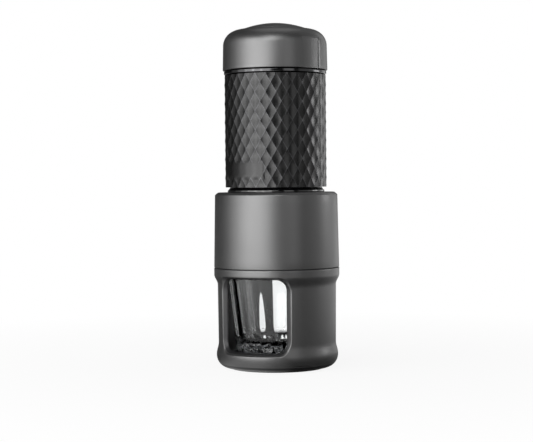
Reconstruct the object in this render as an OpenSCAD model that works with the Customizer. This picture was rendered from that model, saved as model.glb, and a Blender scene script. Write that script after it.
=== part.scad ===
// Handheld manual espresso maker, as it comes apart on a bench: a windowed cup holder with a
// glass cup, a brewing unit with a filter basket, and a water tank with a piston pump whose cap
// turns to unlock and then strokes up and down.
// Origin at the centre of the foot, +Z up, holder windows facing -Y and +Y. Millimetres.

/* [Cup holder] */
// Height of the cup holder from the table to the seam
holder_h = 64; // [62:0.5:72]
// Radius of the collar under the seam
collar_r = 40; // [39.4:0.1:42]
// How far inside the collar the base corner starts
base_inset = 8.4; // [7.6:0.2:12]
// How far the bulge round the base stands inside the collar
bulge_inset = 1.15; // [-0.6:0.05:1.9]
// Height of the bulge above the table
bulge_h = 8.6; // [6.5:0.1:10.5]
// How far the waist above the bulge stands inside the collar
waist_inset = 2.5; // [2.2:0.1:3.4]
// Height at which the waist begins
waist_low_z = 16.5; // [14:0.5:22]
// How far the top of the waist, under the collar sweep, stands inside the collar
waist_high_inset = 2.2; // [1.4:0.1:2.4]
// Height of the straight collar band
collar_h = 4.4; // [3.6:0.1:6]
// Height of the sweep from the waist out to the collar
sweep_h = 6.2; // [4:0.1:9]
// Wall thickness at the waist
holder_wall = 3; // [2.4:0.1:3.6]
// Height of the inner floor above the table
floor_z = 6.5; // [5:0.1:7]
// Depth of the socket that takes the brewing unit
socket_depth = 4.5; // [4:0.1:5.2]
// Wall thickness round the socket
socket_wall = 3; // [2.4:0.1:3.4]
// How far the foot ring stands below the base
foot_stand = 0.6; // [0.4:0.1:1.2]
// Width of the foot ring
foot_w = 9.6; // [6:0.1:11]
// Depth of the groove that holds the foot ring
foot_groove = 1.2; // [0.8:0.1:1.6]

/* [Windows] */
// Half angle of a window at the inner face, in degrees
window_in_angle = 33.3; // [26:0.1:36]
// Half angle of a window at the outer face, in degrees
window_out_angle = 38.2; // [36.5:0.1:40]
// Height of the sill at the inner face
window_in_low = 13.2; // [12:0.1:18]
// Height of the sill at the outer face
window_out_low = 11.3; // [10.4:0.1:11.9]
// Distance from the seam down to the window head at the inner face
window_in_drop = 6.5; // [6.3:0.1:9]
// Distance from the seam down to the window head at the outer face
window_out_drop = 5.45; // [4.9:0.05:6]
// Corner radius of a window at the inner face
window_in_corner = 6; // [4:0.1:8]
// Corner radius of a window at the outer face
window_out_corner = 9; // [8.1:0.1:10]

/* [Glass cup] */
// Room between the cup's rim and the funnel disc
cup_headroom = 5; // [3:0.1:10]
// Gap between the cup's rim and the wall of the holder
cup_gap = 2.8; // [2:0.1:5]
// How much narrower the cup is at its base than at its rim
cup_taper = 5.7; // [4.7:0.1:7]
// Thickness of the cup wall at the rim
cup_wall = 1.4; // [1.2:0.1:2.4]
// Thickness of the cup wall just above its floor
cup_low_wall = 3.2; // [2:0.1:4.4]
// Depth below the rim at which the wall starts to thicken
cup_thin_h = 11.5; // [6:0.5:20]
// Thickness of the cup base
cup_base_t = 9.5; // [4:0.1:11]
// Thickness of the soft cushion under the cup
cushion_t = 1.5; // [1:0.1:2]
// Height of the cushion lip that centres the cup
cushion_lip_h = 2; // [1:0.1:2.6]

/* [Brewing unit] */
// Height of the brewing unit above the seam
housing_h = 47.7; // [45:0.1:54]
// How far the housing stands inside the collar at the seam
housing_inset = 0.05; // [0:0.05:0.5]
// How much the housing narrows up to its top chamfer
housing_taper = 0.85; // [0:0.05:1.3]
// Size of the top chamfer
housing_chamfer = 2; // [1:0.1:2.4]
// Wall thickness of the housing
housing_wall = 2.2; // [1.8:0.1:2.5]
// Thickness of the housing top
housing_top_t = 2.5; // [1.8:0.1:3.2]
// Thickness of the ledge above the seam that carries the funnel
housing_ledge_t = 2.2; // [1.6:0.1:3]
// Wall thickness of the spigot that enters the cup holder
spigot_wall = 2.7; // [2.4:0.1:2.9]
// Room between the chamber and the inside of the housing
chamber_room = 3.9; // [3.3:0.1:4.4]
// Wall thickness of the chamber at the thread
chamber_wall = 2.5; // [2:0.1:3.2]
// Thickness of the chamber flange under the housing top
chamber_flange_t = 3.5; // [2.5:0.1:5]
// Thickness of the chamber floor
chamber_floor_t = 2; // [1.5:0.1:2.5]
// Thickness of the funnel disc and flange
funnel_t = 2; // [1.6:0.1:2.4]
// Radius of the hole down the outlet tube
outlet_r = 2.2; // [1.6:0.1:2.8]
// How far the outlet tube hangs below the funnel disc
outlet_drop = 5.5; // [4.5:0.1:6]
// Number of funnel screws
funnel_screws_n = 3; // [3:1:6]

/* [Filter basket] */
// Gap between the basket's rim and the chamber
basket_gap = 0.9; // [0.7:0.1:1.5]
// Width of the basket's rim beyond its wall
basket_rim_w = 2.8; // [2.6:0.1:5]
// Sheet thickness of the basket
basket_t = 0.8; // [0.6:0.1:1]
// Height of the basket
basket_h = 17; // [13:0.1:17.5]
// Thickness of the basket rim
basket_rim_t = 1; // [0.8:0.1:1.4]
// Thickness of the gasket under the basket rim
basket_gasket_t = 1; // [0.8:0.1:1.4]
// Rings of holes in the basket floor and in the shower screen
hole_rings = 3; // [2:1:4]
// Radius of one hole
hole_r = 0.9; // [0.6:0.1:1.2]
// Thickness of the water distributor
distributor_t = 4.4; // [3.6:0.1:5]
// Depth of the water space above the shower screen
plenum_h = 1.2; // [1:0.1:1.6]
// Thickness of the shower screen
screen_t = 0.6; // [0.4:0.1:0.8]

/* [Tank and grip] */
// How far the glossy neck under the grip stands out over the thread
neck_step = 0.3; // [0.1:0.05:1]
// Height of the neck that shows above the brewing unit
neck_h = 3.2; // [2:0.1:5]
// Depth of the thread below the top of the brewing unit
thread_depth = 7; // [6:0.1:8]
// How far the barrel under the grip stands inside the thread
barrel_step = 0.4; // [0.1:0.05:0.8]
// Wall thickness of the barrel
barrel_wall = 1.3; // [1:0.1:1.5]
// Wall thickness of the steel tank liner
liner_t = 1.4; // [0.8:0.1:1.8]
// Height of the grip sleeve above the stop of the cap's lugs
sleeve_spare = 1.8; // [0.9:0.1:10]
// Thickness of the grip sleeve over its ridges
sleeve_t = 2.43; // [2:0.01:2.6]
// Depth of a grip scoop below the ridges
scoop_depth = 0.55; // [0.2:0.05:0.8]
// Scoops round the grip sleeve
scoops_round = 30; // [20:1:36]
// Scoops up the grip sleeve
scoops_high = 6; // [4:1:8]
// Turn of the grip's pattern from the front window, in degrees
scoop_turn = 0.9; // [-6:0.1:6]
// Thickness of the gasket under the tank
tank_gasket_t = 1.6; // [1.2:0.1:2]
// Height of the polished trim ring
trim_h = 2.7; // [2.2:0.1:3.5]
// How far the trim ring stands out over the grip
trim_over = 0.17; // [0:0.01:0.5]
// Length of the guide ring for the cap skirt
guide_len = 19.5; // [12:0.5:22]

/* [Pump] */
// Stroke of the pump
stroke = 26; // [20:0.5:27]
// Bore radius of the pump cylinder
pump_bore_r = 7.5; // [7.4:0.1:8.2]
// Wall thickness of the pump cylinder
pump_wall = 2; // [1.5:0.1:2.4]
// Height of the piston
piston_h = 5; // [4:0.1:6]
// Radius of the plunger rod
rod_r = 4; // [3.4:0.1:4.5]
// Radius of the valve block under the cylinder
head_r = 12; // [11.6:0.1:13]
// Height of solid valve block under the cylinder
head_solid_h = 7; // [6.6:0.1:8]
// Radius of the nozzle that plugs into the distributor
nozzle_r = 3.8; // [3.4:0.1:3.8]
// Radius of the inlet valve ball
ball_r = 1.8; // [1.6:0.05:1.85]
// Lift of the inlet valve ball
ball_lift = 1; // [0.6:0.1:1.2]
// Thickness of the shelf that carries the pump deck
shelf_t = 3; // [2.4:0.1:4]
// Thickness of the pump deck
deck_t = 3.5; // [3:0.1:4]
// Number of deck screws
deck_screws_n = 3; // [3:1:6]
// Thickness of the spring wire
wire_d = 1.6; // [1:0.1:1.8]
// Radius of the spring at the middle of the wire
spring_r = 9.7; // [9.4:0.1:11]
// Curls of the spring
spring_curls = 11; // [8:1:13]

/* [Cap] */
// Height of the cap
cap_h = 30.1; // [28:0.1:36]
// How far the cap stands out over the trim ring
cap_over = 0.76; // [0.5:0.02:1.2]
// How much the cap narrows up to its shoulder
cap_taper = 0.33; // [0:0.01:0.5]
// Thickness of the cap's wall at its lower edge
cap_wall = 2.26; // [2:0.02:2.7]
// Height of the rounded shoulder
shoulder_h = 10.1; // [8:0.1:12]
// Width of the rounded shoulder
shoulder_w = 10.63; // [8:0.01:11]
// Rise of the crown above the shoulder
crown_rise = 4.3; // [2.5:0.1:6]
// How far the crown disc stands inside the top of the shoulder
crown_inset = 2.1; // [1.6:0.1:6]
// Height of the step at the edge of the crown
crown_step = 0.6; // [0.3:0.1:1]
// Thickness of the cap shell at the top
cap_top_t = 2.7; // [2.2:0.1:3.2]
// Thickness of the cap skirt
skirt_t = 1.6; // [1.2:0.1:2]
// Thickness of the hub plate inside the cap
hub_t = 4; // [3:0.1:5]
// Distance of the hub plate below the shoulder
hub_drop = 2; // [0.5:0.1:4]
// Depth of the two grip recesses in the cap
recess_depth = 0.91; // [0.7:0.01:1.1]
// Angle that one grip recess covers, in degrees
recess_angle = 26; // [16:1:40]
// Middle of the first grip recess, in degrees from the front window
recess_turn = 68.5; // [0:0.5:180]
// Angle that the cap turns to unlock, in degrees
lock_turn = 45; // [30:1:60]
// Angle that one bayonet lug covers, in degrees
lug_angle = 20; // [12:1:24]
// Height of a bayonet lug
lug_h = 4; // [3:0.1:5]

/* [Clearances] */
// Gap at the seams that show
seam_gap = 0.3; // [0.2:0.05:0.5]
// Gap between a sliding part and its guide
slide_gap = 0.1; // [0.06:0.01:0.1]
// Gap between the rod and its bush, and between a seal and its bore
run_gap = 0.05; // [0.03:0.01:0.08]
// Gap round parts that only pass each other
pass_gap = 0.3; // [0.25:0.01:0.35]

/* [Hidden] */

$fn = 96;
// Circle sides of small round parts
small_fn = 32;
// Steps along one curved stretch of an outline
curve_n = 10;
// Overshoot of a cut past the face that it opens
eps = 1;

satin_grey = [0.36, 0.36, 0.37];
gloss_black = [0.06, 0.06, 0.07];
rubber_black = [0.10, 0.10, 0.11];
steel = [0.72, 0.72, 0.73];
dark_chrome = [0.25, 0.25, 0.26];
clear_glass = [0.80, 0.86, 0.88, 0.35];
silicone = [0.20, 0.20, 0.21];

// Holder
base_r = collar_r - base_inset;
bulge_r = collar_r - bulge_inset;
waist_r = collar_r - waist_inset;
waist_high_r = collar_r - waist_high_inset;
holder_in_r = waist_r - holder_wall;
socket_r = collar_r - socket_wall;
socket_z = holder_h - socket_depth;
collar_z = holder_h - collar_h;
foot_r = base_r - 1.2;
foot_top = foot_stand + foot_groove;
under_r = foot_r - foot_w - 2;
under_z = floor_z - 3.3;
edge_r = 0.4;

// Cup
cup_z = floor_z + cushion_t;
cup_top = holder_h + seam_gap + housing_ledge_t - cup_headroom;
cup_h = cup_top - cup_z;
cup_rim_r = holder_in_r - cup_gap;
cup_base_r = cup_rim_r - cup_taper;

// Brewing unit, from the seam up
z_housing = holder_h + seam_gap;
z_neck = z_housing + housing_h;
z_thread = z_neck - thread_depth;
z_distributor = z_thread - tank_gasket_t;
z_rim = z_distributor - distributor_t;
z_gasket = z_rim - basket_rim_t;
z_ledge = z_gasket - basket_gasket_t;
z_basket = z_rim - basket_h;
basket_under = 2;
z_chamber = z_basket - basket_under - chamber_floor_t;
z_disc = z_housing + housing_ledge_t;
spigot_r = socket_r - pass_gap;
spigot_z = socket_z + pass_gap;
spigot_in_r = spigot_r - spigot_wall;
housing_low_r = collar_r - housing_inset;
housing_high_r = housing_low_r - housing_taper;
housing_in_r = housing_high_r - housing_wall;
chamber_out_r = housing_in_r - chamber_room;
chamber_r = chamber_out_r - chamber_wall;
basket_rim_r = chamber_r - basket_gap;
basket_r = basket_rim_r - basket_rim_w;
pocket_r = basket_r + pass_gap + slide_gap;
floor_hole_r = basket_r - 1.3;
disc_r = housing_in_r - pass_gap;
screw_ring_r = (pocket_r + chamber_out_r) / 2;
screw_r = 1.25;
screw_head_r = 2.5;
screw_head_h = 1.4;
screw_bite = 8;
holder_seal_h = 1.5;
holder_seal_d = 1.1;
holder_seal_z = spigot_z + 1.5;
screen_r = basket_r - basket_t - 0.8;
screen_seat_r = screen_r + run_gap;
hole_pitch = (screen_r - 4) / hole_rings;

// Tank and pump, from the thread up
thread_r = chamber_r - slide_gap;
neck_r = thread_r + neck_step;
barrel_r = thread_r - barrel_step;
hub_r = 7;
hub_h = 1.2;
z_hub_top = z_distributor + hub_h;
z_head = z_hub_top + 1.4;
z_head_floor = z_head + head_solid_h;
head_socket = 3;
piston_gap = 1;
z_piston = z_head_floor + piston_gap;
z_shelf = z_piston + piston_h + stroke + piston_gap;
z_deck = z_shelf + shelf_t;
z_deck_top = z_deck + deck_t;
cylinder_seat = 2;
cylinder_r = pump_bore_r + pump_wall;
cylinder_gasket_t = 0.8;
barrel_in_r = barrel_r - barrel_wall;
liner_in_r = barrel_in_r - liner_t;
tank_gasket_in_r = liner_in_r - 0.5;
shelf_w = 7.7;
shelf_in_r = barrel_in_r - shelf_w;
deck_plug_r = shelf_in_r - pass_gap + slide_gap;
deck_screw_ring_r = (shelf_in_r + barrel_in_r) / 2;
deck_hub_r = spring_r - wire_d / 2 - 0.7;
deck_hub_h = 2.5;
bush_r = rod_r + 2.5;
bush_flange_r = bush_r + 1.1;
bush_flange_t = 1;
port_r = nozzle_r + pass_gap + slide_gap;
nozzle_drop = 5;
z_nozzle = z_head - nozzle_drop;
nozzle_bore_r = nozzle_r - 1.2;
port_bore_r = 1.4;
seal_groove_d = 0.8;
ball_bore_r = ball_r + pass_gap;
ball_x = pump_bore_r - ball_bore_r - 0.5;
ball_seat_r = ball_r * 0.6;
z_ball_seat = z_head + 1.2;
z_ball = z_ball_seat + sqrt(ball_r * ball_r - ball_seat_r * ball_seat_r) + 0.03;
retainer_t = 0.8;

// Grip, ring and cap
z_skirt = z_deck_top + 1.5;
z_stop = z_skirt + lug_h + stroke + seam_gap;
z_sleeve = z_neck + neck_h;
sleeve_top = z_stop + sleeve_spare;
sleeve_h = sleeve_top - z_sleeve;
sleeve_r = barrel_r + sleeve_t;
trim_r = sleeve_r + trim_over;
cap_low_r = trim_r + cap_over;
cap_high_r = cap_low_r - cap_taper;
cap_bore_r = cap_low_r - cap_wall;
recess_r = cap_low_r - recess_depth;
z_trim = sleeve_top + 0.2;
trim_top = z_trim + trim_h;
trim_lip_t = 1.4;
z_cap = trim_top + seam_gap;
z_top = z_cap + cap_h;
z_crown = z_top - crown_rise;
z_shoulder = z_crown - shoulder_h;
shoulder_r = cap_high_r - shoulder_w;
z_hub = z_shoulder - hub_drop - hub_t;
z_rod_top = z_hub + hub_t + seam_gap;
lug_r = barrel_in_r - pass_gap;
guide_t = 1.1;
guide_r = barrel_in_r - guide_t;
skirt_r = guide_r - slide_gap;
skirt_in_r = skirt_r - skirt_t;
z_guide_top = trim_top - trim_lip_t - slide_gap;
z_guide = z_guide_top - guide_len;
lug_gap_angle = 2;
seat_t = 1.7;
z_seat = z_hub - seam_gap - seat_t;
washer_t = 1.2;
crown_seat_t = 1.4;
crown_r = shoulder_r - crown_inset;
crown_plug_r = crown_r - 2;
cap_ceiling_z = z_crown - cap_top_t;

// A value between a and b, and beyond them for t outside 0 to 1
function mix(a, b, t) = a + (b - a) * t;

// Points along an elliptical arc round c, radii r, from angle a0 to angle a1
function arc(c, r, a0, a1, n = curve_n) =
    [for (i = [0:n]) let (a = mix(a0, a1, i / n)) [c[0] + r[0] * cos(a), c[1] + r[1] * sin(a)]];

// Points of a smooth sweep from p to q that leaves and arrives upright
function sweep(p, q, n = curve_n) =
    [for (i = [0:n]) let (t = i / n) [mix(p[0], q[0], t * t * (3 - 2 * t)), mix(p[1], q[1], t)]];

// A solid of revolution about Z from points of radius and height
module lathe(points) {
    rotate_extrude() polygon(points);
}

// A plain ring about Z
module ring(r_in, r_out, z0, z1) {
    rotate_extrude() translate([r_in, z0]) square([r_out - r_in, z1 - z0]);
}

// A part of a ring that covers an angle round a middle direction
module sector(r_in, r_out, z0, z1, middle, angle) {
    rotate([0, 0, middle - angle / 2])
        rotate_extrude(angle = angle) translate([r_in, z0]) square([r_out - r_in, z1 - z0]);
}

// A hole or shank standing on z0, away from the axis
module post(r, z0, z1, x = 0) {
    translate([x, 0, z0]) cylinder(r = r, h = z1 - z0, $fn = small_fn);
}

// Children repeated round the axis
module around(n, turn = 0) {
    for (i = [0:n - 1]) rotate([0, 0, turn + 360 * i / n]) children();
}

// Holes in rings about the axis, six more in each ring
module hole_field(z0, z1) {
    for (k = [1:hole_rings]) around(6 * k) post(hole_r, z0, z1, hole_pitch * k + 1);
}

// Outline of a window on a cylinder of radius r about the axis
window_in_r = holder_in_r;
window_out_r = waist_r;
function window_outline(r) =
    let (k = (r - window_in_r) / (window_out_r - window_in_r),
         half = mix(window_in_angle, window_out_angle, k),
         low = mix(window_in_low, window_out_low, k),
         high = holder_h - mix(window_in_drop, window_out_drop, k),
         c = mix(window_in_corner, window_out_corner, k),
         c_angle = c / r * 180 / PI,
         sx = [1, -1, -1, 1],
         sz = [1, 1, -1, -1])
    [for (q = [0:3]) for (i = [0:curve_n])
        let (t = 90 * q + 90 * i / curve_n,
             a = sx[q] * (half - c_angle) + c_angle * cos(t),
             z = (sz[q] > 0 ? high - c : low + c) + c * sin(t))
        [r * sin(a), -r * cos(a), z]];

// The body that cuts one window, lofted through rings from inside the wall to outside the collar
module window_cutter() {
    tip = 7;
    mid_z = holder_h / 2;
    radii = [for (k = [-0.55, 0.25, 0.75, 1.25, 2, 3.2]) mix(window_in_r, window_out_r, k)];
    n = len(window_outline(window_in_r));
    last = len(radii) - 1;
    in_tip = n * (last + 1);
    points = concat([for (r = radii) for (p = window_outline(r)) p],
        [[0, -radii[0] + tip, mid_z], [0, -radii[last] - tip, mid_z]]);
    faces = concat(
        [for (k = [0:last - 1]) for (i = [0:n - 1]) let (j = (i + 1) % n, a = n * k)
            [a + j, a + i, a + n + j]],
        [for (k = [0:last - 1]) for (i = [0:n - 1]) let (j = (i + 1) % n, a = n * k)
            [a + n + j, a + i, a + n + i]],
        [for (i = [0:n - 1]) [i, (i + 1) % n, in_tip]],
        [for (i = [0:n - 1]) [n * last + (i + 1) % n, n * last + i, in_tip + 1]]);
    polyhedron(points, faces);
}

module cup_holder() {
    corner = [bulge_r - base_r, bulge_h - foot_stand];
    fillet = 3;
    outline = concat(
        [[0, under_z], [under_r, under_z], [under_r, foot_stand]],
        [[foot_r - foot_w, foot_stand], [foot_r - foot_w, foot_top]],
        [[foot_r, foot_top], [foot_r, foot_stand]],
        arc([base_r, bulge_h], corner, -90, 0),
        sweep([bulge_r, bulge_h + 0.4], [waist_r, waist_low_z]),
        sweep([waist_high_r, collar_z - sweep_h], [collar_r, collar_z]),
        arc([collar_r - edge_r, holder_h - edge_r], [edge_r, edge_r], 0, 90, 3),
        [[socket_r, holder_h], [socket_r, socket_z], [holder_in_r, socket_z]],
        arc([holder_in_r - fillet, floor_z + fillet], [fillet, fillet], 0, -90, 5),
        [[0, floor_z]]);
    color(satin_grey) difference() {
        lathe(outline);
        around(2) window_cutter();
    }
}

module foot_ring() {
    color(silicone) ring(foot_r - foot_w, foot_r, 0, foot_top);
}

module cup_cushion() {
    lip_in = cup_base_r + 0.6;
    lip_out = lip_in + 2.4;
    top = cup_z + cushion_lip_h;
    color(silicone) lathe([[0, floor_z], [lip_out, floor_z], [lip_out, top - 0.6],
        [lip_out - 0.6, top], [lip_in + 0.4, top], [lip_in, top - 0.4], [lip_in, cup_z], [0, cup_z]]);
}

// Outer radius of the glass cup at a height above its base
function cup_r_at(h) = mix(cup_base_r, cup_rim_r, h / cup_h);

module glass_cup() {
    heel = 2;
    well = 4;
    kick = 0.8;
    kick_r = cup_base_r - heel - 4;
    lip = cup_wall / 2;
    lean = atan((cup_rim_r - cup_base_r) / cup_h);
    well_h = cup_base_t + well;
    well_r = cup_r_at(well_h) - cup_low_wall - well;
    thin_h = cup_h - cup_thin_h;
    outline = concat(
        [[0, cup_z + kick], [kick_r - 1, cup_z + kick], [kick_r, cup_z]],
        arc([cup_r_at(heel) - heel, cup_z + heel], [heel, heel], -90, -lean, 5),
        arc([cup_rim_r - lip, cup_top - lip], [lip, lip], 0, 180, 8),
        [[cup_r_at(thin_h) - cup_wall, cup_z + thin_h]],
        arc([well_r, cup_z + well_h], [well, well], 0, -90, 6),
        [[0, cup_z + cup_base_t]]);
    color(clear_glass) lathe(outline);
}

module brew_housing() {
    bottom_edge = edge_r;
    top_r = housing_high_r - housing_chamfer;
    mouth_r = neck_r + pass_gap;
    groove_r = spigot_r - holder_seal_d;
    outline = concat(
        [[spigot_in_r, spigot_z], [spigot_r, spigot_z], [spigot_r, holder_seal_z],
         [groove_r, holder_seal_z], [groove_r, holder_seal_z + holder_seal_h + 2 * run_gap],
         [spigot_r, holder_seal_z + holder_seal_h + 2 * run_gap], [spigot_r, z_housing]],
        arc([housing_low_r - bottom_edge, z_housing + bottom_edge], [bottom_edge, bottom_edge], -90, 0, 3),
        [[housing_high_r, z_neck - housing_chamfer], [top_r + 0.3, z_neck - 0.15], [top_r, z_neck],
         [mouth_r, z_neck], [mouth_r, z_neck - housing_top_t],
         [housing_in_r, z_neck - housing_top_t], [housing_in_r, z_disc], [spigot_in_r, z_disc]]);
    color(satin_grey) lathe(outline);
}

module holder_seal() {
    groove_r = spigot_r - holder_seal_d;
    color(silicone) ring(groove_r, socket_r - run_gap, holder_seal_z + run_gap,
        holder_seal_z + run_gap + holder_seal_h);
}

module brew_chamber() {
    flange_z = z_neck - housing_top_t - chamber_flange_t;
    flange_top = z_neck - housing_top_t;
    color(rubber_black) difference() {
        lathe([[floor_hole_r, z_chamber], [chamber_out_r, z_chamber], [chamber_out_r, flange_z],
            [housing_in_r, flange_z], [housing_in_r, flange_top], [chamber_r, flange_top],
            [chamber_r, z_ledge], [pocket_r, z_ledge], [pocket_r, z_chamber + chamber_floor_t],
            [floor_hole_r, z_chamber + chamber_floor_t]]);
        around(funnel_screws_n) post(screw_r + run_gap, z_chamber - eps,
            z_chamber + screw_bite + 0.5, screw_ring_r);
    }
}

module outlet_funnel() {
    tube_r = outlet_r + 1.8;
    z_tube = z_disc - outlet_drop;
    disc_top = z_disc + funnel_t;
    flange_z = z_chamber - funnel_t;
    cone_r = floor_hole_r + funnel_t;
    color(rubber_black) difference() {
        union() {
            lathe([[outlet_r, z_tube], [tube_r, z_tube], [tube_r, z_disc], [disc_r, z_disc],
                [disc_r, disc_top], [tube_r + 3, disc_top], [cone_r, flange_z],
                [chamber_out_r - 0.2, flange_z], [chamber_out_r - 0.2, z_chamber],
                [floor_hole_r, z_chamber], [outlet_r, disc_top + 0.4]]);
            around(funnel_screws_n) post(screw_r + 1.85, z_disc + funnel_t / 2,
                z_chamber - funnel_t / 2, screw_ring_r);
        }
        around(funnel_screws_n) {
            post(screw_r + 0.2, z_disc - eps, z_chamber + eps, screw_ring_r);
            post(screw_head_r + 0.2, z_disc - eps, z_disc + screw_head_h, screw_ring_r);
        }
    }
}

module spout_tip() {
    in_r = outlet_r + 1.8;
    out_r = in_r + 1;
    z_tube = z_disc - outlet_drop;
    z_tip = z_tube - 2.2;
    hole = outlet_r - 0.6;
    color(silicone) lathe([[hole, z_tip], [in_r - 0.6, z_tip], [out_r, z_tip + 1.6],
        [out_r, z_tube + 4], [in_r, z_tube + 4], [in_r, z_tube], [hole, z_tube - 0.8]]);
}

// A cap screw whose head rests on z, hanging down or standing up
module cap_screw(r, head, head_h, shank, hex) {
    difference() {
        union() {
            cylinder(r = head, h = head_h, $fn = small_fn);
            translate([0, 0, -shank]) cylinder(r = r, h = shank + 0.1, $fn = small_fn);
        }
        translate([0, 0, head_h * 0.45]) cylinder(r = hex, h = head_h, $fn = 6);
    }
}

module funnel_screws() {
    shank = z_chamber + screw_bite - z_disc - screw_head_h;
    color(steel) around(funnel_screws_n)
        translate([screw_ring_r, 0, z_disc + screw_head_h]) mirror([0, 0, 1])
            cap_screw(screw_r, screw_head_r, screw_head_h - 0.1, shank, 1.2);
}

module basket_gasket() {
    color(silicone) ring(pocket_r + 0.4, basket_rim_r + 0.3, z_ledge, z_gasket);
}

module filter_basket() {
    wall_r = basket_r - basket_t;
    heel = 1.2;
    color(steel) difference() {
        lathe(concat([[0, z_basket]],
            arc([basket_r - heel, z_basket + heel], [heel, heel], -90, 0, 4),
            [[basket_r, z_gasket], [basket_rim_r, z_gasket], [basket_rim_r, z_rim],
             [wall_r, z_rim], [wall_r, z_basket + basket_t], [0, z_basket + basket_t]]));
        post(hole_r, z_basket - eps, z_basket + basket_t + eps);
        hole_field(z_basket - eps, z_basket + basket_t + eps);
    }
}

module water_distributor() {
    color(rubber_black) lathe([[port_r, z_rim + plenum_h], [screen_seat_r, z_rim + plenum_h],
        [screen_seat_r, z_rim], [basket_rim_r, z_rim], [basket_rim_r, z_distributor],
        [hub_r, z_distributor], [hub_r, z_hub_top], [port_r, z_hub_top]]);
}

module shower_screen() {
    z0 = z_rim + 0.3;
    color(steel) difference() {
        ring(0, screen_r, z0, z0 + screen_t);
        hole_field(z0 - eps, z0 + screen_t + eps);
    }
}

module pump_barrel() {
    thread_top = z_neck - 0.6;
    color(gloss_black) difference() {
        lathe([[barrel_in_r, z_thread], [thread_r, z_thread], [thread_r, thread_top],
            [neck_r, thread_top], [neck_r, z_sleeve], [barrel_r, z_sleeve], [barrel_r, z_trim],
            [barrel_in_r, z_trim], [barrel_in_r, z_deck], [shelf_in_r, z_deck],
            [shelf_in_r, z_shelf], [barrel_in_r, z_shelf]]);
        around(deck_screws_n) post(screw_r + run_gap, z_shelf - eps, z_deck + eps, deck_screw_ring_r);
    }
}

// The grip is quilted: ridges cross at lattice points on the full radius, and each diamond
// between them is scooped in to a point at its middle.
module grip_sleeve() {
    rows = 2 * scoops_high;
    n = 2 * scoops_round;
    step = 180 / scoops_round;
    points = concat(
        [for (j = [0:rows]) for (i = [0:n - 1])
            let (r = (i + j) % 2 == 0 ? sleeve_r : sleeve_r - scoop_depth, a = step * i + scoop_turn)
            [r * sin(a), -r * cos(a), z_sleeve + sleeve_h * j / rows]],
        [[0, 0, z_sleeve], [0, 0, sleeve_top]]);
    foot = (rows + 1) * n;
    faces = concat(
        [for (j = [0:rows - 1]) for (i = [0:n - 1])
            let (k = (i + 1) % n, a = j * n + i, b = j * n + k, c = a + n, d = b + n)
            (i + j) % 2 == 0 ? [a, d, b] : [a, c, b]],
        [for (j = [0:rows - 1]) for (i = [0:n - 1])
            let (k = (i + 1) % n, a = j * n + i, b = j * n + k, c = a + n, d = b + n)
            (i + j) % 2 == 0 ? [a, c, d] : [b, c, d]],
        [for (i = [0:n - 1]) [i, (i + 1) % n, foot]],
        [for (i = [0:n - 1]) [rows * n + (i + 1) % n, rows * n + i, foot + 1]]);
    color(rubber_black) difference() {
        polyhedron(points, faces);
        translate([0, 0, z_sleeve - eps]) cylinder(r = barrel_r, h = sleeve_h + 2 * eps);
    }
}

module trim_ring() {
    lip_r = skirt_r + pass_gap;
    edge = 0.3;
    z_lip = trim_top - trim_lip_t;
    color(dark_chrome) lathe([[barrel_in_r + slide_gap, z_trim], [trim_r - edge, z_trim],
        [trim_r, z_trim + edge], [trim_r, trim_top - edge], [trim_r - edge, trim_top],
        [lip_r, trim_top], [lip_r, z_lip], [barrel_in_r + slide_gap, z_lip]]);
}

module guide_ring() {
    turn = recess_turn - 90;
    color(silicone) difference() {
        ring(guide_r, barrel_in_r, z_guide, z_guide_top);
        around(2, turn) sector(guide_r - eps, barrel_in_r + eps, z_guide - eps, z_stop,
            lock_turn / 2, lock_turn + lug_angle + 2 * lug_gap_angle);
    }
}

module water_tank() {
    color(steel) ring(liner_in_r, barrel_in_r, z_thread, z_shelf);
}

module tank_gasket() {
    color(silicone) ring(tank_gasket_in_r, thread_r - 0.4, z_distributor, z_thread);
}

module pump_deck() {
    groove_z = z_shelf + shelf_t / 2;
    groove_r = deck_plug_r - 1.2;
    color(rubber_black) difference() {
        lathe([[bush_r, z_shelf + cylinder_seat], [cylinder_r, z_shelf + cylinder_seat],
            [cylinder_r, z_shelf], [deck_plug_r, z_shelf], [deck_plug_r, groove_z - 0.7],
            [groove_r, groove_z - 0.7], [groove_r, groove_z + 0.7], [deck_plug_r, groove_z + 0.7],
            [deck_plug_r, z_deck], [lug_r, z_deck], [lug_r, z_deck_top], [deck_hub_r, z_deck_top],
            [deck_hub_r, z_deck_top + deck_hub_h], [bush_r, z_deck_top + deck_hub_h]]);
        around(deck_screws_n) {
            post(screw_r + 0.2, z_deck - eps, z_deck_top + eps, deck_screw_ring_r);
            post(screw_head_r + 0.2, z_deck_top - screw_head_h - 0.3, z_deck_top + eps, deck_screw_ring_r);
        }
    }
}

module deck_seal() {
    groove_z = z_shelf + shelf_t / 2;
    color(silicone) ring(deck_plug_r - 1.2, shelf_in_r - run_gap, groove_z - 0.65, groove_z + 0.65);
}

module deck_screws() {
    seat = z_deck_top - screw_head_h - 0.3;
    color(steel) around(deck_screws_n) translate([deck_screw_ring_r, 0, seat])
        cap_screw(screw_r, screw_head_r, screw_head_h, seat - z_shelf - 0.3, 1.2);
}

module rod_bush() {
    in_r = rod_r + run_gap;
    top = z_deck_top + deck_hub_h;
    color(silicone) lathe([[in_r, z_shelf + cylinder_seat], [bush_r, z_shelf + cylinder_seat],
        [bush_r, top], [bush_flange_r, top], [bush_flange_r, top + bush_flange_t],
        [in_r, top + bush_flange_t]]);
}

module pump_cylinder() {
    color(steel) ring(pump_bore_r, cylinder_r, z_head_floor + cylinder_gasket_t,
        z_shelf + cylinder_seat);
}

module cylinder_gasket() {
    color(silicone) ring(pump_bore_r, cylinder_r, z_head_floor, z_head_floor + cylinder_gasket_t);
}

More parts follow.
